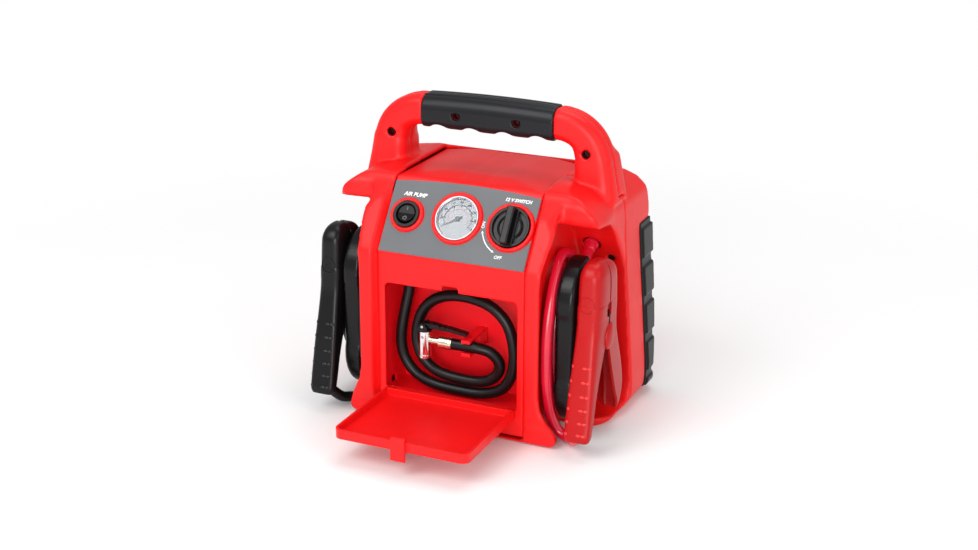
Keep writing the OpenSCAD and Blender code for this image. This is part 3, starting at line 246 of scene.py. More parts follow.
finishes = {finish.name: finish for finish in (
    moulded("red_shell", rgb(232, 16, 18), rough=0.40, specular_ior_level=0.3),
    moulded("red_bay", rgb(238, 14, 28), rough=0.42, specular_ior_level=0.3),
    smooth_moulded("red_clamp", rgb(176, 10, 14), rough=0.32),
    smooth_moulded("black_clamp", rgb(13, 13, 15)),
    # The pads are the clamps' own plastic: their lighter colours are painted highlight, for the catch-lights
    # on the raised pads
    smooth_moulded("red_pad", rgb(222, 52, 52), level=0.35),
    smooth_moulded("black_pad", rgb(34, 34, 37), level=0.35),
    moulded("black_grip", rgb(27, 28, 31), rough=0.3, grain=0.0005, depth=0.00001, round_by=0.0006, worn=0.05,
            specular_ior_level=0.2),
    moulded("black_gloss", rgb(13, 13, 15), rough=0.3, depth=0.000004, specular_ior_level=0.2),
    moulded("black_plastic", rgb(12, 12, 14), rough=0.27, worn=0.05, specular_ior_level=0.25),
    # Dark colours that are painted shade, down in the knob's grooves and in the handle screw wells
    painted_shade_finish("black_deep", rgb(6, 6, 7)),
    painted_shade_finish("well_maroon", rgb(84, 6, 12)),
    metal("black_screw", (0.05, 0.045, 0.045), rough=0.45),
    moulded("black_rubber", rgb(13, 13, 15), grain=0.0006, round_by=0.0008, specular_ior_level=0.22),
    moulded("black_hose", rgb(11, 11, 13), grain=0.0009, depth=0.00006, round_by=0.0003,
            specular_ior_level=0.3),
    moulded("grey_label", rgb(92, 95, 98), rough=0.5, grain=0.00025, depth=0.00001, round_by=0.0002,
            worn=0.0),
    printed("white_print", rgb(238, 238, 238), tint=0.02),
    moulded("white_dial", rgb(158, 163, 168), rough=0.45, grain=0.0004, depth=0.000002, round_by=0.0002,
            worn=0.0, tint=0.03),
    printed("dial_print", rgb(34, 38, 46)),
    printed("dial_red", rgb(178, 74, 74)),
    printed("rocker_print", rgb(120, 122, 124)),
    printed("grey_needle", rgb(78, 82, 88), rough=0.4),
    polished("silver_bezel", (0.42, 0.43, 0.45), rough=0.34),
    metal("steel", (0.60, 0.60, 0.61), rough=0.32),
    polished("bright_chrome", (0.86, 0.86, 0.87), rough=0.1),
    metal("copper_jaw", (0.30, 0.24, 0.2), rough=0.4),
    metal("motor_steel", (0.45, 0.45, 0.46), rough=0.4, brush=0.001),
    metal("brass_gear", (0.75, 0.6, 0.3), rough=0.3),
    polished("brass_ferrule", (0.88, 0.80, 0.62), rough=0.22),
    metal("die_cast", (0.6, 0.6, 0.61), rough=0.5, brush=0.0008, depth=0.00004),
    moulded("battery_case", rgb(58, 58, 62), rough=0.5),
    moulded("green_board", rgb(18, 96, 52), rough=0.35, grain=0.0004, depth=0.000004, round_by=0.0002),
    moulded("red_rubber", rgb(216, 18, 52), rough=0.24, grain=0.0012, round_by=0.0003, worn=0.0, tint=0.2,
            specular_ior_level=0.6, coat_weight=0.2))}
# Nodes whose finish is finer than their material slot
NODE_FINISH = {"gauge_needle": "grey_needle", "gauge_case": "silver_bezel", "handle_screws": "black_screw",
               "shell_screws": "black_screw", "hose_ferrule": "brass_ferrule",
               "clamp_spring_right": "black_screw", "clamp_spring_left": "black_screw"}

lens = Finish("clear_lens", base_color=(1, 1, 1, 1), transmission_weight=1.0, ior=1.2)
finishes["clear_lens"] = lens.coat_with(roughness=0.02 + lens.noise(0.02) * 0.03)


def dress(thing, finish):
    """Gives a piece its finish, by name."""
    thing.data.materials.clear()
    thing.data.materials.append(finishes[finish].material)


# Every CAD node takes the finish of its material slot, or its own
for part in frame["record"]["subparts"]:
    finish = finishes[NODE_FINISH.get(part["node"], part["material_slot"])]
    for slot in frame["nodes"][part["node"]].material_slots:
        slot.material = finish.material


# ---- cords ----

# Diameters in metres, all other sizes and places in millimetres
HOSE_D, CABLE_D = 0.010, 0.0095
# Where the wall between the body and a cable recess stands
CORE_HALF = 79
# Out of the gland in the bay's ceiling, round the bay, and inwards to the chuck
hose_route = [
    (-52, -58, 127.2), (-52, -58, 117),
    (-54.5, -60.5, 100), (-57, -63, 82), (-57.4, -64, 66), (-53.5, -64, 51.5), (-43, -64, 39.2),
    (-26, -64, 32), (0, -64, 29.9), (24, -64, 31.2), (42, -64, 39.5), (50.8, -64, 57),
    (51.6, -64, 78), (45, -63.6, 99.5), (28.5, -62.8, 113.5), (4, -62.4, 118.4), (-19, -62.4, 114.5),
    (-35.5, -62.4, 101), (-42.6, -62.8, 78), (-37.5, -63.6, 57.2), (-22, -64, 44.6), (1.5, -64, 40.9),
    (23, -64, 42.4), (35.5, -64, 50.5), (38.6, -65, 62.5), (31.5, -68, 72.6), (20, -71, 76),
    (8, -72, 76.5), (-3, -72, 76.5)]
gland_end = (94.5, -0.15, 154.6)
# From the gland round the hub and down to the end of the clamp, with x from the wall
cable_route = [
    (13.9, -17.5, 144), (10.9, -27, 140.6), (8.4, -38, 136), (8.4, -49, 126),
    (8.4, -57.5, 110), (8.4, -61.3, 88), (8.4, -60, 64), (8.4, -52.5, 44.5), (8.2, -39, 33.5),
    (7.7, -22, 31), (7, -8, 39.5), (6, 0, 56), (5.2, 3, 80), (5.2, 3, 108), (5.2, -1, 131),
    (5.2, -10.5, 148), (5.2, -25, 158.5), (6, -41, 161), (8, -56.5, 151), (8.9, -68.5, 134),
    (8.9, -76, 112), (8.9, -78.6, 88), (8.9, -77.6, 62), (8.9, -72.3, 40), (9.6, -68.3, 25.5),
    (13.6, -66, 13), (20.5, -65.8, 6.6), (28.5, -69.2, 5.9), (34.8, -76.8, 8.6)]
cable_points = (
    [gland_end, (94.5, -9.7, 149.14)] + [(CORE_HALF + x, y, z) for x, y, z in cable_route]
    + [(120.58, -87.76, 21.1), (123.9, -92.5, 28.0)])


def between(a, b, c, d, t):
    """A value a share t of the way from b to c, on the smooth line from a to d."""
    bend = 2 * a - 5 * b + 4 * c - d
    return 0.5 * ((2 * b) + (c - a) * t + bend * t * t + (3 * b - a - 3 * c + d) * t ** 3)


def smooth_path(points, per_span=6):
    """A smooth line through the points, in metres."""
    p = [Vector(q) * MM for q in points]
    p = [2 * p[0] - p[1]] + p + [2 * p[-1] - p[-2]]
    spans = range(len(p) - 3)
    return [between(*p[i:i + 4], k / per_span) for i in spans for k in range(per_span)] + [p[-2]]


def cord_curve(name, points, diameter, finish, node):
    """A cord along the points, and its length in metres."""
    line = smooth_path(points)
    data = bpy.data.curves.new(name, "CURVE")
    data.dimensions = "3D"
    spline = data.splines.new("POLY")
    spline.points.add(len(line) - 1)
    for point, place in zip(spline.points, line):
        point.co = (*place, 1)
    data.bevel_depth, data.bevel_resolution, data.use_fill_caps = diameter / 2, 6, True
    spline.use_smooth = True
    cord = stand_in_scene(name, data)
    dress(cord, finish)
    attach(cord, "case")
    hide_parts(node)
    return cord, sum((b - a).length for a, b in zip(line, line[1:]))


def mirrored(points):
    """The same route on the left side."""
    return [(-x, y, z) for x, y, z in points]


hose, hose_length = cord_curve("hose", hose_route, HOSE_D, "black_hose", "air_hose")
mm(*hose_route[0])
for side, finish, route in (("right", "red_rubber", cable_points),
                            ("left", "black_rubber", mirrored(cable_points))):
    cable, length = cord_curve("jumper_cable_" + side, route, CABLE_D, finish, "cable_" + side)
    mm(*route[0])


# ---- mesh helpers ----

def glide(rows, per_span=4):
    """Rows of numbers on a smooth line through the given rows."""
    rows = [rows[0]] + list(rows) + [rows[-1]]
    line = []
    for i in range(len(rows) - 3):
        for k in range(per_span):
            line.append(tuple(between(*values, k / per_span) for values in zip(*rows[i:i + 4])))
    return line + [tuple(rows[-2])]


def skin(rings):
    """Points and quads of a skin over closed rings of equal length."""
    count = len(rings[0])
    points = [p for ring in rings for p in ring]
    quads = []
    for r in range(len(rings) - 1):
        for i in range(count):
            j = (i + 1) % count
            quads.append((r * count + i, r * count + j, (r + 1) * count + j, (r + 1) * count + i))
    return points, quads


def end_caps(points, count):
    """The faces that close the first and the last ring of a skin."""
    return [tuple(range(count))[::-1], tuple(range(len(points) - count, len(points)))]


def once_round(steps):
    """Even turns round a circle, in radians."""
    return [2 * math.pi * i / steps for i in range(steps)]


SHARP_FROM = math.radians(35)


def add_piece(name, points, faces, finish, body="case"):
    """A mesh piece in millimetres that rides on a body."""
    mesh = bmesh.new()
    corners = [mesh.verts.new(Vector(p) * MM) for p in points]
    for face in faces:
        mesh.faces.new([corners[i] for i in face])
    bmesh.ops.remove_doubles(mesh, verts=mesh.verts, dist=1e-6)
    bmesh.ops.recalc_face_normals(mesh, faces=mesh.faces)
    data = bpy.data.meshes.new(name)
    mesh.to_mesh(data)
    mesh.free()
    data.polygons.foreach_set("use_smooth", [True] * len(data.polygons))
    data.set_sharp_from_angle(angle=SHARP_FROM)
    piece = stand_in_scene(name, data)
    dress(piece, finish)
    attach(piece, body)
    return piece


# A slice across a raised line, as shares of its width and its height
BEAD_SLICE = [(-0.5, -0.15), (-0.5, 0.5), (-0.3, 1), (0.3, 1), (0.5, 0.5), (0.5, -0.15)]


def bead(path, surface, width, height, closed=False):
    """A raised line drawn on a surface: path in the surface's own two directions."""
    count = len(path)
    rings = []
    for i, (u, v) in enumerate(path):
        a = path[(i - 1) % count] if closed or i else path[0]
        b = path[(i + 1) % count] if closed or i < count - 1 else path[-1]
        run = Vector((b[0] - a[0], b[1] - a[1])).normalized()
        side = Vector((-run.y, run.x))
        ring = []
        for offset, rise in BEAD_SLICE:
            ring.append(surface(u + side.x * width * offset, v + side.y * width * offset, height * rise))
        rings.append(ring)
    if closed:
        rings.append(rings[0])
    points, faces = skin(rings)
    if not closed:
        faces += end_caps(points, len(BEAD_SLICE))
    return points, faces


def joined(*parts):
    """Several sets of points and faces as one."""
    points, faces = [], []
    for more, quads in parts:
        faces += [tuple(i + len(points) for i in quad) for quad in quads]
        points += more
    return points, faces


def arc(radius, start, end, steps=24):
    """A path round the surface's own centre, from one angle to another in degrees."""
    turns = [math.radians(start + (end - start) * i / steps) for i in range(steps + 1)]
    return [(radius * math.cos(a), radius * math.sin(a)) for a in turns]


def ring_path(radius, centre):
    """A closed path round a centre on the surface."""
    return [(centre[0] + radius * math.cos(a), centre[1] + radius * math.sin(a)) for a in once_round(36)]


# ---- booster clamps ----

# Where the right clamp's handles turn, and half its width
PIVOT = Vector((122.9, -52, 100))
CLAMP_HALF = 11.7
# Down each handle: outer point and seam point as y and z from the pivot, half width, squareness
FRONT_HANDLE = [
    (-23.4, 46, -1.8, 46, 11.7, 3.3), (-24.2, 36, -1.8, 36, 11.7, 3.4), (-24.6, 31, -1.8, 31, 11.6, 3.5),
    (-24.8, 29, -6.5, 29.4, 11.6, 3.6), (-25.3, 20, -6.5, 19.6, 11.5, 3.8), (-25.5, 18, -2.2, 18, 11.5, 4),
    (-26.3, 10, -3.0, 11, 11.4, 4.3), (-28.8, -2, -5.6, -1, 11.2, 4.8), (-32.0, -16, -11.5, -12, 11.2, 5.2),
    (-36.0, -33, -20, -29, 11.4, 5.6), (-40.2, -54, -28.8, -50, 11.6, 5.8), (-43.6, -70, -34, -68, 11.7, 5.8),
    (-45.6, -79, -37.3, -79, 11.4, 5.4), (-45.0, -83.2, -38.4, -83.2, 10.2, 4.6)]
REAR_HANDLE = [
    (20.6, 44, 1.5, 44, 11.5, 6), (21.4, 31, 1.5, 31, 11.4, 7), (21.5, 29, 3.4, 29.4, 11.4, 7),
    (21.6, 20, 3.4, 19.6, 11.3, 7), (21.6, 18, 1.5, 18, 11.3, 7), (21.8, 12, 1.5, 12, 11.2, 7),
    (23.6, 2, 1.2, 1, 11, 7), (27.2, -8.5, 2.2, -9, 11, 7), (32.2, -20, 6.2, -21, 11, 7),
    (37.4, -32, 10.6, -33, 11, 7), (42, -46, 16.6, -47, 11, 7), (44.2, -58, 22.2, -59, 10.8, 7),
    (44, -69, 29.6, -69.6, 10, 6), (42.2, -77.4, 35.2, -77.4, 8.6, 5), (40.4, -83.2, 37.6, -83.0, 6.2, 4)]
# Tops of the rounded heads, and how far each leans over the seam
FRONT_HEAD = {"top": 68, "lean": 1.5}
REAR_HEAD = {"top": 66, "lean": -1.5}
# Roundness of a head from side to side and from front to back: 2 is a circle, more is squarer
HEAD_WIDE_ROUND, HEAD_DEEP_ROUND = 2.7, 2.9
# A handle's wall, and the least of its size that stays hollow
CLAMP_WALL, LEAST_HOLLOW = 2.3, 0.35
# The oval cap over the pivot: half depth, half height, lean, and its dome as shares of its size and heights
BOSS_DEEP, BOSS_TALL, BOSS_LEAN = 8.8, 11.8, math.radians(-20)
BOSS_DOME = [(1.0, -1.2), (1.0, 0.5), (0.97, 1.0), (0.88, 1.6), (0.72, 2.3), (0.5, 2.8), (0.26, 3.05),
             (0.08, 3.1)]
# Pads down the front handle: rows, and in each row a pad's place across and its half length
PAD_ROWS = (-19.5, -31.5, -43.5, -55, -66, -76)
PAD_ROW = ((-9.2, 1.7), (2.2, 2.3), (6.4, 2.0))
PAD_HALF_HEIGHT = 1.25
PAD_DOME = ((1.0, -0.2), (1.0, 0.35), (0.78, 0.95), (0.35, 1.25))
# The + or - in its ring: centre, ring radius, length of an arm, and the gap beside the bar of the -
MARK_AT, MARK_RING, MARK_ARM, MARK_GAP = (-1, 33), 6.8, 2.6, 0.45
# The pivot pin, as places along it and radii
PIN_PROFILE = [(-12, 2.1), (-11.6, 2.5), (11.8, 2.5), (12.2, 2.1)]


def head_rows(row, top, lean):
    """Slices of the rounded head above a handle's first slice."""
    outer, low, seam, _, half, square = row
    rows = []
    # The slices lie closer together toward the top, where the head turns over
    for level in (1.0, 0.985, 0.94, 0.86, 0.74, 0.58, 0.4, 0.2):
        z = low + (top - low) * level
        wide = (1 - (level * 0.995) ** HEAD_WIDE_ROUND) ** (1 / HEAD_WIDE_ROUND)
        deep = (1 - (level * 0.985) ** HEAD_DEEP_ROUND) ** (1 / HEAD_DEEP_ROUND)
        rows.append((seam + (outer - seam) * deep + lean * level * level, z, seam, z, half * wide, square))
    return rows


def handle_ring(row, steps=26):
    """A slice across a handle, a U that is open toward the other handle."""
    outer, seam, half, square = Vector(row[:2]), Vector(row[2:4]), row[4], row[5]
    reach = outer - seam
    depth = reach.length
    way = reach / depth
    inner_half = max(half - CLAMP_WALL, half * LEAST_HOLLOW)
    inner_depth = max(depth - CLAMP_WALL, depth * LEAST_HOLLOW)
    ring = []
    for width, deep, order in ((half, depth, 1), (inner_half, inner_depth, -1)):
        for i in range(steps + 1)[::order]:
            turn = math.pi * i / steps
            x = width * math.copysign(abs(math.cos(turn)) ** (2 / square), math.cos(turn))
            level = deep * math.sin(turn) ** (2 / square) if 0 < i < steps else 0.0
            ring.append((x, seam.x + way.x * level, seam.y + way.y * level))
    return ring


def handle_shell(rows):
    """A hollow handle over its slices, closed at both ends."""
    rings = [handle_ring(row) for row in rows]
    points, faces = skin(rings)
    count = len(rings[0])
    half = count // 2
    for base in (0, len(points) - count):
        for i in range(half - 1):
            faces.append((base + i, base + i + 1, base + count - 2 - i, base + count - 1 - i))
    return points, faces


def on_handle(rows):
    """The outer surface of a handle as a place for marks: x across, z down the handle."""
    def surface(x, z, rise):
        for a, b in zip(rows, rows[1:]):
            if b[1] <= z <= a[1] or b is rows[-1]:
                t = (z - a[1]) / (b[1] - a[1])
                outer, seam, half, square = (a[k] + (b[k] - a[k]) * t for k in (0, 2, 4, 5))
                break
        level = (1 - min(0.97, abs(x) / half) ** square) ** (1 / square)
        toward = math.copysign(1, outer - seam)
        return x, seam + (outer - seam) * level + toward * rise, z
    return surface


def pivot_boss(half, steps=40):
    """The oval cap over the pivot, domed, on a handle of that half width."""
    rings = []
    for scale, rise in BOSS_DOME:
        ring = []
        for turn in once_round(steps):
            oval = Vector((BOSS_DEEP * scale * math.cos(turn), BOSS_TALL * scale * math.sin(turn)))
            oval.rotate(Matrix.Rotation(BOSS_LEAN, 2))
            ring.append((half + rise, *oval))
        rings.append(ring)
    points, faces = skin(rings)
    return points, faces + end_caps(points, steps)


def turned_bar(profile, steps=32):
    """A turned bar along x, from places along it and radii there."""
    rings = [[(x, r * math.cos(t), r * math.sin(t)) for t in once_round(steps)] for x, r in profile]
    points, faces = skin(rings)
    return points, faces + end_caps(points, steps)


def grip_pads(surface, steps=16):
    """Six rows of small raised pads down the handle."""
    parts = []
    for z in PAD_ROWS:
        for x, long in PAD_ROW:
            rings = []
            for scale, rise in PAD_DOME:
                rings.append([
                    surface(x + long * scale * math.cos(t), z + PAD_HALF_HEIGHT * scale * math.sin(t), rise)
                    for t in once_round(steps)])
            points, faces = skin(rings)
            parts.append((points, faces + end_caps(points, steps)[1:]))
    return joined(*parts)


def polarity_mark(surface, plus):
    """A raised ring with a - in it, or a +."""
    x, z = MARK_AT
    strokes = [bead(ring_path(MARK_RING, MARK_AT), surface, 0.9, 0.6, closed=True),
               bead([(x - MARK_ARM, z), (x, z), (x + MARK_ARM, z)], surface, 0.8, 0.35)]
    if plus:
        strokes.append(bead([(x, z - MARK_ARM), (x, z - MARK_GAP)], surface, 0.8, 0.35))
        strokes.append(bead([(x, z + MARK_GAP), (x, z + MARK_ARM)], surface, 0.8, 0.35))
    return joined(*strokes)


def build_clamp(side, sign, finish, pad_highlight_finish, plus):
    """One clamp. The left one is the mirror of the right one, apart from the marks on its handle."""
    def set_down(part, mirror=sign):
        points, faces = part
        return [(PIVOT.x * sign + x * mirror, PIVOT.y + y, PIVOT.z + z) for x, y, z in points], faces

    front_rows = glide(head_rows(FRONT_HANDLE[0], **FRONT_HEAD)[:-1] + FRONT_HANDLE)
    rear_rows = glide(head_rows(REAR_HANDLE[0], **REAR_HEAD)[:-1] + REAR_HANDLE)
    front = add_piece("clamp_handle_front_" + side, *set_down(handle_shell(front_rows)), finish)
    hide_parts("clamp_front_" + side)
    rear = add_piece("clamp_handle_rear_" + side, *set_down(handle_shell(rear_rows)), finish,
                     body="clamp_arm_" + side)
    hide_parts("clamp_rear_" + side)
    surface = on_handle(front_rows)
    # The pads take a lighter finish than the handle, a painted highlight
    add_piece("clamp_pads_" + side, *set_down(grip_pads(surface), mirror=1), pad_highlight_finish)
    add_piece("clamp_polarity_" + side, *set_down(polarity_mark(surface, plus), mirror=1), finish)
    add_piece("clamp_boss_" + side, *set_down(pivot_boss(CLAMP_HALF - 0.4)), finish)
    pin = add_piece("clamp_pivot_" + side, *set_down(turned_bar(PIN_PROFILE)), "steel")
    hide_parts("clamp_pin_" + side)


build_clamp("right", 1, "red_clamp", "red_pad", plus=True)
build_clamp("left", -1, "black_clamp", "black_pad", plus=False)


# ---- soft mouldings ----

body_of = {node: body for body, nodes in frame["record"]["behaviour"]["bodies"].items() for node in nodes}


def softened(name, voxel, rounds, rounding=None, sculpt=None):
    """A moulded part with its edges rounded as the mould rounds them, in place of the CAD node.
    A larger voxel, in metres, or more rounds round it more. rounding(place) says how much of it each place
    takes, 0 to 1, and sculpt(place) where a place in millimetres ends up."""
    node = frame["nodes"][name]
    piece = stand_in_scene(name + "_moulding", node.data.copy())

    def settle():
        shaped = settled_mesh(piece)
        piece.modifiers.clear()
        piece.data = shaped
        return shaped

    remesh = piece.modifiers.new("remesh", "REMESH")
    remesh.mode, remesh.voxel_size, remesh.adaptivity = "VOXEL", voxel, 0.0
    shaped = settle()
    smooth = piece.modifiers.new("smooth", "SMOOTH")
    smooth.factor, smooth.iterations = 0.5, rounds
    if rounding:
        group = piece.vertex_groups.new(name="rounding")
        shares = {}
        for vertex in shaped.vertices:
            share = round(rounding(vertex.co / MM), 1)
            shares.setdefault(share, []).append(vertex.index)
        for share, members in shares.items():
            group.add(members, share, "REPLACE")
        smooth.vertex_group = group.name
    shaped = settle()
    piece.vertex_groups.clear()
    if sculpt:
        for vertex in shaped.vertices:
            vertex.co = sculpt(vertex.co / MM) * MM
    shaped.materials.clear()
    shaped.materials.append(node.material_slots[0].material)
    shaped.polygons.foreach_set("use_smooth", [True] * len(shaped.polygons))
    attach(piece, body_of[name])
    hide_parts(name)


# ---- control panel prints ----

# The sloped panel: its lean, its foot, and the directions up it and out of it
SLOPE = math.radians(34.6)
SLOPE_FOOT = Vector((0, -85.5, 157))
SLOPE_UP = Vector((0, math.sin(SLOPE), math.cos(SLOPE)))
SLOPE_OUT = Vector((0, -math.cos(SLOPE), math.sin(SLOPE)))
# Places on the slope, across and up, and heights over it
ROCKER_AT, GAUGE_AT, KNOB_AT = (-49.5, 36), (-2.4, 38.7), (47.7, 37.2)
LABEL_LEVEL, DIAL_LEVEL, KNOB_LEVEL = -0.2, -1.8, 2.9
# The printed arrow beside the knob: its radius, and the length and width of its heads
ARROW_SWEEP, HEAD_LONG, HEAD_WIDE = 25.3, 2.6, 2.3
LETTER_THICK, LINE_THICK = 0.04, 0.06
# The dial: radii of its scale, its inner scale and its figures, its zero and swing in degrees, and its marks
SCALE_R, INNER_R, FIGURE_R = 12.9, 9.2, 15.2
DIAL_ZERO, DIAL_SWING, DIAL_MARKS = 210, 240, 40
# The rocker's paddle: its tilt, the pivot's depth, the height of its middle over the pivot, its wings' rise
PADDLE_TILT, PADDLE_PIVOT, PADDLE_MIDDLE, PADDLE_RISE = math.radians(-8), -1, 3.6, 0.135


def on_panel(centre, level):
    """The sloped panel, or a plane above or below it, as a place for prints."""
    def surface(u, v, rise):
        foot = SLOPE_FOOT + Vector((centre[0] + u, 0, 0))
        return foot + SLOPE_UP * (centre[1] + v) + SLOPE_OUT * (level + rise)
    return surface


def lettering(name, words, size, surface, spot, finish, turn=0.0, slant=0.0, weight=0.0):
    """Plain words or figures in thin raised print, turned by degrees."""
    face = bpy.data.curves.new(name, "FONT")
    face.body, face.size, face.shear, face.offset = words, size, slant, weight
    face.align_x, face.align_y, face.extrude = "CENTER", "CENTER", LETTER_THICK
    draft = stand_in_scene(name + "_draft", face)
    flat = settled_mesh(draft)
    bpy.data.objects.remove(draft)
    cos, sin = math.cos(math.radians(turn)), math.sin(math.radians(turn))
    points = [surface(spot[0] + v.co.x * cos - v.co.y * sin, spot[1] + v.co.x * sin + v.co.y * cos, v.co.z)
              for v in flat.vertices]
    add_piece(name, points, [tuple(p.vertices) for p in flat.polygons], finish)


def arrowhead(surface, tip, heading):
    """A barbed head for a printed line."""
    run = Vector((math.cos(heading), math.sin(heading)))
    side = Vector((-run.y, run.x))
    tail = Vector(tip) - run * HEAD_LONG
    flat = [Vector(tip), tail + side * HEAD_WIDE / 2, tail + run * 0.5, tail - side * HEAD_WIDE / 2]
    points = [surface(p.x, p.y, h) for h in (-0.02, LINE_THICK) for p in flat]
    return points, [(4, 5, 6, 7), (3, 2, 1, 0)] + [(i, (i + 1) % 4, (i + 1) % 4 + 4, i + 4) for i in range(4)]


def panel_prints():
    """The arrow from ON to OFF beside the knob, and the words over the two switches."""
    rocker, knob = on_panel(ROCKER_AT, LABEL_LEVEL), on_panel(KNOB_AT, LABEL_LEVEL)
    add_piece("print_turn_arrow", *joined(
        bead(arc(ARROW_SWEEP, 199, 241), knob, 0.95, LINE_THICK),
        arrowhead(knob, arc(ARROW_SWEEP, 193, 194)[0], math.radians(193 - 90)),
        arrowhead(knob, arc(ARROW_SWEEP, 247, 248)[0], math.radians(247 + 90))), "white_print")
    lettering("print_on", "ON", 3.8, knob, (-24.9, -0.6), "white_print", turn=90, weight=0.08)
    lettering("print_off", "OFF", 4.0, knob, (-5.4, -27.2), "white_print", slant=0.2, weight=0.08)
    lettering("print_switch", "12 V SWITCH", 4.1, knob, (1.0, 24.4), "white_print", slant=0.22, weight=0.17)
    lettering("print_air", "AIR PUMP", 5.0, rocker, (2.6, 19.0), "white_print", slant=0.22, weight=0.12)


def gauge_prints():
    """A scale with a long mark and a figure at each 20, and a finer scale inside it."""
    dial = on_panel(GAUGE_AT, DIAL_LEVEL)
    end = DIAL_ZERO - DIAL_SWING
    scale = [bead(arc(SCALE_R, DIAL_ZERO, end, steps=60), dial, 0.6, 0.05)]
    inner = [bead(arc(INNER_R, DIAL_ZERO, end, steps=60), dial, 0.3, 0.03)]
    figures = []
    for mark in range(DIAL_MARKS + 1):
        angle = math.radians(DIAL_ZERO - DIAL_SWING * mark / DIAL_MARKS)
        ray = Vector((math.cos(angle), math.sin(angle)))
        long, wide = (1.9, 0.9) if mark % 5 == 0 else (1.0, 0.4)
        scale.append(bead([tuple(ray * SCALE_R), tuple(ray * (SCALE_R - long))], dial, wide, 0.05))
        if mark % 2 == 0:
            inner.append(bead([tuple(ray * INNER_R), tuple(ray * (INNER_R - 0.9))], dial, 0.18, 0.03))
        if mark % 5 == 0:
            figures.append(ray * FIGURE_R)
    add_piece("dial_scale", *joined(*scale), "dial_print")
    add_piece("dial_inner_scale", *joined(*inner), "dial_red")
    for i, spot in enumerate(figures):
        lettering("dial_number_%d" % i, str(20 * i), 2.9, dial, spot, "dial_print", weight=0.15)


def rocker_marks():
    """O and I on the two wings of the rocker's paddle."""
    def paddle(u, v, rise):
        level = PADDLE_MIDDLE + PADDLE_RISE * abs(v) + rise
        up = v * math.cos(PADDLE_TILT) - level * math.sin(PADDLE_TILT)
        out = v * math.sin(PADDLE_TILT) + level * math.cos(PADDLE_TILT)
        return on_panel(ROCKER_AT, PADDLE_PIVOT)(u, up, out)

    add_piece("rocker_o", *bead(ring_path(1.6, (0, -4.6)), paddle, 0.6, 0.1, closed=True), "rocker_print",
              body="rocker")
    add_piece("rocker_i", *bead([(0, 3.2), (0, 6)], paddle, 0.65, 0.1), "rocker_print", body="rocker")


def knob_grooves():
    """An arc on each side of the knob's grip bar, a raised line in a darker black that is painted shade in
    the groove.
    """
    plate = on_panel(KNOB_AT, KNOB_LEVEL)
    parts = [bead(arc(10.4, middle - 62, middle + 62), plate, 1.3, 0.25) for middle in (0, 180)]
    add_piece("knob_grooves", *joined(*parts), "black_deep", body="knob")


panel_prints()
gauge_prints()
rocker_marks()


# ---- shells, grip and bumpers ----

# The grip: its middle from front to back, half its depth and half its length
GRIP_MID, GRIP_HALF_DEPTH, GRIP_HALF_LONG = 4.2, 16, 62
# Along its top: height of the two ribs, where its shoulders start, how far they fall, how far its ends fall
RIB_HEIGHT, SHOULDER_AT, SHOULDER_FALL, ARCH_FALL = 1.3, 7, 3.4, 1.4
# Along its underside: the finger scallops, from one to the next, the first one's place and their added depth
SCALLOP_STEP, SCALLOP_AT, SCALLOP_DEPTH = 31.5, 15.75, 1.5
# Handle screws, across and up, and the dark sleeves that stand as painted shade in their wells, as depths and
# radii
SCREW_WELLS = [(x * s, z) for s in (-1, 1) for x, z in ((93, 243), (28.7, 264))]
WELL_SHADE_PROFILE = [(-9.6, 3.75), (-9.4, 3.4), (-2.6, 3.4), (-2.6, 3.75)]
WELL_REACH = 7
# The seam between the two shells, from front to back
SHELL_SEAM = 18.5
# How far the cheeks stand proud of the panel, and how far they spread outward
CHEEK_PROUD, CHEEK_SPREAD = 6.0, 3.2
# The fins over the cable recesses and the hoods under them: middle height, half height, how far they move
FIN_AT, FIN_HALF_TALL, FIN_REACH = 203, 13, Vector((4.2, -7.5, 0))
HOOD_AT, HOOD_HALF_TALL, HOOD_DROP = 195, 6, 3.5
# The deck falls from its flat middle to the seams at its sides
DECK_HALF, DECK_FLAT, DECK_FALL = 68.3, 12.2, 3.67


def ease(value, low, high):
    """0 below low, 1 above high, a smooth rise between."""
    t = min(1.0, max(0.0, (value - low) / (high - low)))
    return t * t * (3 - 2 * t)


def fade(value, low, high):
    """1 below low, 0 above high, a smooth fall between."""
    return 1 - ease(value, low, high)


def swell(value, middle, half):
    """1 at the middle, falling away smoothly on both sides."""
    return math.exp(-((value - middle) / half) ** 2)


def shape_grip(place):
    """Two ribs along the arched top of the grip, rounded shoulders and deep finger scallops below."""
    x, y, z = place
    across = abs(y - GRIP_MID)
    rib = ease(across, 0.3, 1.1) * fade(across, 6.6, 7.5)
    shoulder = max(0.0, (across - SHOULDER_AT) / (GRIP_HALF_DEPTH - SHOULDER_AT))
    fall = RIB_HEIGHT * (1 - rib) + SHOULDER_FALL * shoulder ** 2 + ARCH_FALL * (x / GRIP_HALF_LONG) ** 2
    valley = max(0.0, math.cos(2 * math.pi * (x - SCALLOP_AT) / SCALLOP_STEP))
    return Vector((x, y, z - ease(z, 264, 275) * fall + SCALLOP_DEPTH * valley * fade(z, 250, 258)))


def screw_well_shades(steps=24):
    """Dark maroon sleeves round the handle screws, down in their wells: painted shade over the red walls of
    the wells.
    """
    for number, (x, z) in enumerate(SCREW_WELLS):
        rings = [[(x + r * math.cos(t), y, z + r * math.sin(t)) for t in once_round(steps)]
                 for y, r in WELL_SHADE_PROFILE + WELL_SHADE_PROFILE[:1]]
        add_piece("screw_well_shade_%d" % number, *skin(rings), "well_maroon")


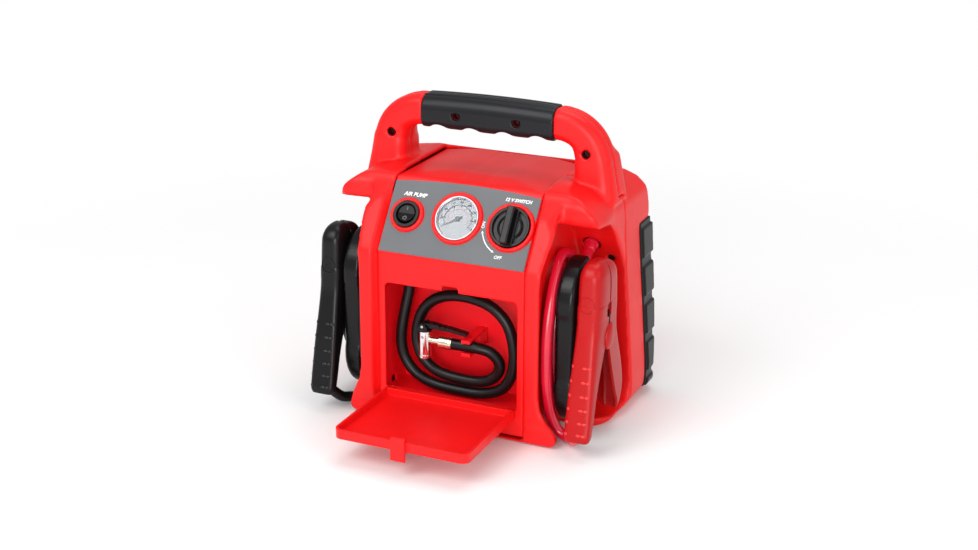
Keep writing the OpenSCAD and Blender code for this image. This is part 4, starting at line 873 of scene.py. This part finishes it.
def shell_rounding(place):
    """Full rounding outside, less round the screw wells and along the seams."""
    x, y, z = place
    share = 1.0
    for well_x, well_z in SCREW_WELLS:
        if y < 6 and abs(x - well_x) < WELL_REACH and abs(z - well_z) < WELL_REACH:
            share = 0.15
    if abs(x) < 72.5 and z > 100:
        share = min(share, 0.35)
    if abs(y - SHELL_SEAM) < 2.2 and z < 215:
        share = min(share, 0.4)
    return share


def front_depth(place):
    """How far a place lies behind the front face and the slope."""
    upright = place.y - SLOPE_FOOT.y
    sloped = -(Vector((0, place.y, place.z)) - SLOPE_FOOT).dot(SLOPE_OUT)
    return min(upright, sloped)


def shape_shell(place):
    """Stands the cheeks proud of the panel, carries the fins forward and lowers the hoods under them."""
    x, y, z = place
    out = abs(x)
    shift = Vector()
    if out > 70:
        depth = front_depth(place)
        forward = Vector((0, -1, 0)).lerp(SLOPE_OUT, ease(z, 147, 167))
        raised = fade(depth, 0, 17) * ease(out, 70.2, 73.2) * ease(z, 9, 30) * fade(z, 192, 214)
        spread = ease(out, 76, 81) * fade(depth, 2.5, 5.5) * ease(z, 9, 30) * fade(z, 180, 200)
        shift += forward * CHEEK_PROUD * raised
        shift.x += CHEEK_SPREAD * spread
    if out > 90 and y < 5:
        shift += FIN_REACH * (swell(z, FIN_AT, FIN_HALF_TALL) * ease(out, 90, 122) * fade(y, -28, 0))
    if out > 79 and y < -8:
        shift.z -= HOOD_DROP * swell(z, HOOD_AT, HOOD_HALF_TALL) * ease(out, 79, 88) * fade(y, -24, -8)
    return Vector((math.copysign(out + shift.x, x), y + shift.y, z + shift.z))


def panel_rounding(place):
    """Full rounding where the deck turns down into the slope, less round the controls and the bay."""
    climb = (Vector((0, place.y, place.z)) - SLOPE_FOOT).dot(SLOPE_UP)
    deck = ease(climb, 68, 74) * fade(abs(place.x), 60, 67)
    return 0.12 + 0.88 * deck


def shape_panel(place):
    """The deck as a true arc from side to side."""
    x, y, z = place
    out = min(abs(x), DECK_HALF)
    facet = DECK_FALL * max(0.0, out - DECK_FLAT) / (DECK_HALF - DECK_FLAT)
    arched = DECK_FALL * (out / DECK_HALF) ** 2
    return Vector((x, y, z + (facet - arched) * ease(z, 207, 214)))


screw_well_shades()
softened("front_shell", voxel=0.0014, rounds=16, rounding=shell_rounding, sculpt=shape_shell)
softened("rear_shell", voxel=0.0016, rounds=16, rounding=shell_rounding)
softened("front_panel", voxel=0.001, rounds=44, rounding=panel_rounding, sculpt=shape_panel)
for name in ("grip_front", "grip_rear"):
    softened(name, voxel=0.0007, rounds=10, sculpt=shape_grip)
for name in ("bumper_right", "bumper_left"):
    softened(name, voxel=0.0008, rounds=6)
for name in ("hub_right", "hub_left"):
    softened(name, voxel=0.001, rounds=12)


# ---- cable grommets ----

# Along the collar from inside the wall, as places and radii
GROMMET_PROFILE = [(-0.2, 4.0), (0, 4.9), (0.6, 5.2), (6.0, 5.4), (6.6, 6.6), (8.2, 7.0), (8.9, 6.8),
                   (10, 6.6)]


def grommet(side, sign, finish, steps=32):
    """A slim rubber collar where the cable leaves the wall of its recess."""
    end = Vector(gland_end)
    back = (end - Vector(cable_points[1])).normalized()
    across = Vector((1, 0, 0))
    up = across.cross(back)
    rings = []
    for along, radius in GROMMET_PROFILE:
        middle = end + back * along
        ring = [middle + (across * math.cos(t) + up * math.sin(t)) * radius for t in once_round(steps)]
        rings.append([(p.x * sign, p.y, p.z) for p in ring])
    points, faces = skin(rings)
    collar = add_piece("grommet_" + side, points, faces + end_caps(points, steps), finish)
    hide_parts("gland_" + side)


grommet("right", 1, "red_rubber")
grommet("left", -1, "black_rubber")
knob_grooves()


# ---- floor and light ----

WHITE = (1, 1, 1, 1)
LIT_POINT = Vector((0, 0, 0.12))


def floor():
    """A pale floor that fades to white away from the pack."""
    f = Finish("floor")
    f.tree.nodes.remove(f.shader)
    place = f.node("ShaderNodeNewGeometry", out="Position")
    away = f.node("ShaderNodeVectorMath", {"operation": "LENGTH"}, {0: place}, out="Value")
    seen = f.node("ShaderNodeLightPath", out="Is Camera Ray")
    grained = f.mix(f.noise(0.002), (0.86, 0.86, 0.86, 1), (0.9, 0.9, 0.9, 1))
    pale = f.node("ShaderNodeBsdfDiffuse", None, {"Color": grained})
    white = f.node("ShaderNodeEmission", None, {"Color": WHITE, "Strength": 1.0})
    mixed = f.node("ShaderNodeMixShader", None, {0: away.step(low=0.35, high=0.9) * seen, 1: pale, 2: white})
    f.tree.links.new(mixed.socket, f.output.inputs[0])
    bpy.ops.mesh.primitive_circle_add(vertices=96, radius=6, fill_type="NGON", location=(0, 0, -0.0005))
    ground = bpy.context.object
    ground.name = "floor"
    ground.data.materials.append(f.material)


def soft_light(name, place, size, power):
    """A square soft box that faces the pack."""
    data = bpy.data.lights.new(name, "AREA")
    data.size, data.energy = size, power
    lamp = stand_in_scene(name, data)
    lamp.location = place
    lamp.rotation_euler = (LIT_POINT - Vector(place)).to_track_quat("-Z", "Y").to_euler()


def studio():
    """Soft light from all round, four soft boxes, and a white backdrop for the camera and the lens."""
    world = bpy.data.worlds.new("studio")
    bpy.context.scene.world = world
    world.use_nodes = True
    nodes, links = world.node_tree.nodes, world.node_tree.links
    nodes.clear()
    path = nodes.new("ShaderNodeLightPath")
    seen = nodes.new("ShaderNodeMath")
    seen.operation = "MAXIMUM"
    seen.use_clamp = True
    links.new(path.outputs["Is Camera Ray"], seen.inputs[0])
    links.new(path.outputs["Is Transmission Ray"], seen.inputs[1])
    mix = nodes.new("ShaderNodeMixShader")
    links.new(seen.outputs[0], mix.inputs[0])
    for entry, strength in ((1, 0.55), (2, 1.0)):
        background = nodes.new("ShaderNodeBackground")
        background.inputs["Color"].default_value = WHITE
        background.inputs["Strength"].default_value = strength
        links.new(background.outputs[0], mix.inputs[entry])
    links.new(mix.outputs[0], nodes.new("ShaderNodeOutputWorld").inputs[0])
    soft_light("key", (-0.7, -1.6, 1.8), size=1.2, power=24)
    soft_light("front", (0.5, -2.0, 0.5), size=0.9, power=22)
    soft_light("fill", (1.7, -0.6, 1.0), size=1.4, power=8)
    soft_light("top", (0.1, 0.5, 2.2), size=1.4, power=15)


floor()
studio()
bpy.context.scene.view_settings.view_transform = "Standard"
